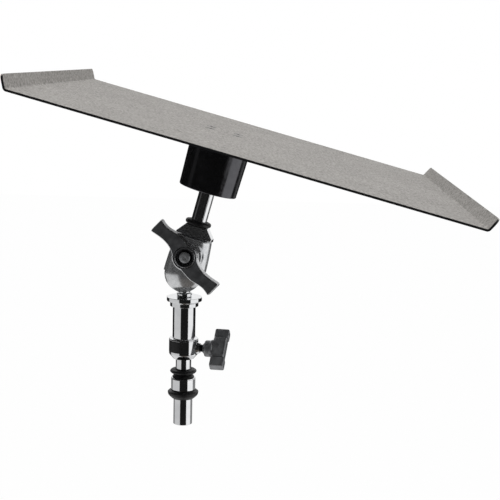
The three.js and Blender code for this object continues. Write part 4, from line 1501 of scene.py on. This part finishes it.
@dataclass
class Studio:
    """The camera, the lamps, the room that the chrome shows, and the pale floor far below."""

    focal: float = 85.51
    position: tuple[float, float, float] = (95.827, -1186.416, 375.926)
    yaw: float = -0.0252778
    pitch: float = 0.1605951
    roll: float = 0.0230171
    target: tuple[float, float, float] = (0.05, 0.0, 0.2)
    floor_height: float = -1.2
    room_level: float = 0.62
    lamps: tuple[Lamp, ...] = (
        Lamp("Key", (0.35, -0.6, 1.5), 0.9, 9.0),
        Lamp("Top", (0.1, 0.5, 1.5), 1.2, 7.0),
    )
    panels: tuple[Panel, ...] = (
        Panel("FFFFFF", 0.75, (-185, 185), (-95, -30), 8.0),
        Panel("5F5954", 0.7, (-28, 60), (-95, -24), 8.0),
        Panel("FFFFFF", 1.0, (-185, -130), (9, 95), 3.0),
        Panel("FFFFFF", 1.0, (118, 185), (-5, 95), 3.0),
        Panel("DEDEDE", 0.9, (-112, -30), (-34, -9.5), 3.0),
        Panel("D2D2D2", 0.12, (-88, -72), (-6, 30), 6.0),
        Panel("FFFFFF", 1.05, (47, 109), (-19, 60), 3.0),
        Panel("FFFFFF", 1.05, (61, 114), (-45, -19), 3.0),
        Panel("8E8E8E", 1.0, (-185, -112), (-19, -15), 1.5),
        Panel("8E8E8E", 1.0, (110, 185), (-19, -15), 1.5),
    )

    def build(self) -> None:
        """Builds the studio."""
        self.camera()
        self.room()
        self.floor()
        for lamp in self.lamps:
            self.light(lamp)
        bpy.context.scene.view_settings.view_transform = "Standard"

    def camera(self) -> None:
        """Sets the camera where the photograph was taken from."""
        yaw, pitch, roll = self.yaw, self.pitch, self.roll
        ahead = Vector((math.sin(yaw) * math.cos(pitch), math.cos(yaw) * math.cos(pitch),
                        -math.sin(pitch)))
        right = Vector((math.cos(yaw), -math.sin(yaw), 0))
        up = right.cross(ahead)
        across = right * math.cos(roll) + up * math.sin(roll)
        above = up * math.cos(roll) - right * math.sin(roll)
        lens = bpy.data.cameras.new("Camera")
        lens.lens = self.focal
        lens.sensor_width = 36.0
        lens.clip_start, lens.clip_end = 0.05, 50.0
        camera = bpy.data.objects.new("Camera", lens)
        turn = Matrix((across, above, -ahead)).transposed().to_4x4()
        camera.matrix_world = Matrix.Translation(Vector(self.position) * MM) @ turn
        bpy.context.scene.collection.objects.link(camera)
        bpy.context.scene.camera = camera

    def room(self) -> None:
        """Makes the world: white to the camera, a plain level for shading, and panels for gloss."""
        world = bpy.data.worlds.new("Room")
        world.use_nodes = True
        bpy.context.scene.world = world
        tree = world.node_tree
        tree.nodes.clear()
        direction = add_node(tree, "ShaderNodeTexCoord").outputs["Generated"]
        parts = add_node(tree, "ShaderNodeSeparateXYZ", links={"Vector": direction}).outputs
        ahead = add_node(tree, "ShaderNodeMath", {"operation": "MULTIPLY", 1: -1.0},
                         {0: parts["Y"]})
        azimuth = add_node(tree, "ShaderNodeMath", {"operation": "ARCTAN2"},
                           {0: parts["X"], 1: ahead.outputs["Value"]}).outputs["Value"]
        rise = add_node(tree, "ShaderNodeMath", {"operation": "ARCSINE"},
                        {0: parts["Z"]}).outputs["Value"]
        shown = add_node(tree, "ShaderNodeRGB").outputs["Color"]
        shown.default_value = linear("1B1B1B")
        for panel in self.panels:
            inside = None
            for value, (low, high) in ((azimuth, panel.azimuths), (rise, panel.rises)):
                for edge, sign in ((low, 1), (high, -1)):
                    soft = math.radians(panel.softness)
                    step = add_node(tree, "ShaderNodeMapRange", {
                        "interpolation_type": "SMOOTHSTEP",
                        "From Min": math.radians(edge) - sign * soft / 2,
                        "From Max": math.radians(edge) + sign * soft / 2,
                    }, {"Value": value}).outputs["Result"]
                    inside = step if inside is None else add_node(
                        tree, "ShaderNodeMath", {"operation": "MULTIPLY"},
                        {0: inside, 1: step}).outputs["Value"]
            colour = tuple(c * panel.strength for c in linear(panel.colour)[:3]) + (1.0,)
            shown = add_node(tree, "ShaderNodeMix", {"data_type": "RGBA", 7: colour},
                             {0: inside, 6: shown}).outputs[2]
        path = add_node(tree, "ShaderNodeLightPath").outputs
        level = add_node(tree, "ShaderNodeBackground",
                         {"Color": (1, 1, 1, 1), "Strength": self.room_level})
        panels = add_node(tree, "ShaderNodeBackground", {"Strength": 1.0}, {"Color": shown})
        white = add_node(tree, "ShaderNodeBackground", {"Color": (1, 1, 1, 1), "Strength": 1.0})
        gloss = add_node(tree, "ShaderNodeMath", {"operation": "MAXIMUM"},
                         {0: path["Is Glossy Ray"], 1: path["Is Transmission Ray"]})
        lit = add_node(tree, "ShaderNodeMixShader", links={
            0: gloss.outputs["Value"], 1: level.outputs[0], 2: panels.outputs[0]})
        seen = add_node(tree, "ShaderNodeMixShader", links={
            0: path["Is Camera Ray"], 1: lit.outputs[0], 2: white.outputs[0]})
        add_node(tree, "ShaderNodeOutputWorld", links={"Surface": seen.outputs[0]})

    def floor(self) -> None:
        """Lays the pale floor, white to the camera but for the shadow."""
        bm = bmesh.new()
        bmesh.ops.create_grid(bm, x_segments=2, y_segments=2, size=12.0,
                              matrix=Matrix.Translation((0, 0, self.floor_height)))
        mesh = bpy.data.meshes.new("Floor")
        bm.to_mesh(mesh)
        bm.free()
        paint = bpy.data.materials.new("Floor_white_paper")
        paint.use_nodes = True
        tree = paint.node_tree
        tree.nodes.clear()
        matt = add_node(tree, "ShaderNodeBsdfDiffuse", {"Color": (0.9, 0.9, 0.9, 1)})
        glow = add_node(tree, "ShaderNodeEmission", {"Color": (1, 1, 1, 1), "Strength": 1.0})
        path = add_node(tree, "ShaderNodeLightPath").outputs
        share = add_node(tree, "ShaderNodeMath", {"operation": "MULTIPLY", 1: 0.98},
                         {0: path["Is Camera Ray"]})
        mixed = add_node(tree, "ShaderNodeMixShader", links={
            0: share.outputs["Value"], 1: matt.outputs[0], 2: glow.outputs[0]})
        add_node(tree, "ShaderNodeOutputMaterial", links={"Surface": mixed.outputs[0]})
        mesh.materials.append(paint)
        floor = bpy.data.objects.new("Floor", mesh)
        floor.visible_glossy = False
        bpy.context.scene.collection.objects.link(floor)

    def light(self, lamp: Lamp) -> None:
        """Hangs one lamp.

        Args:
            lamp: The lamp.
        """
        data = bpy.data.lights.new(lamp.name, "AREA")
        data.size = lamp.size
        data.energy = lamp.power
        made = bpy.data.objects.new(lamp.name, data)
        made.location = lamp.position
        made.rotation_mode = "QUATERNION"
        aim = Vector(self.target) - Vector(lamp.position)
        made.rotation_quaternion = aim.to_track_quat("-Z", "Y")
        made.visible_glossy = False
        bpy.context.scene.collection.objects.link(made)


def main() -> None:
    """Builds the studio and every sub-assembly."""
    logging.basicConfig(level=logging.INFO, format="%(message)s")
    Studio().build()
    for assembly in (Riser(), Receiver(), ClampScrew(), GripHead(), Lever(), Platform()):
        assembly.build()
        LOG.info("%s is built", type(assembly).__name__)


if __name__ == "__main__":
    main()
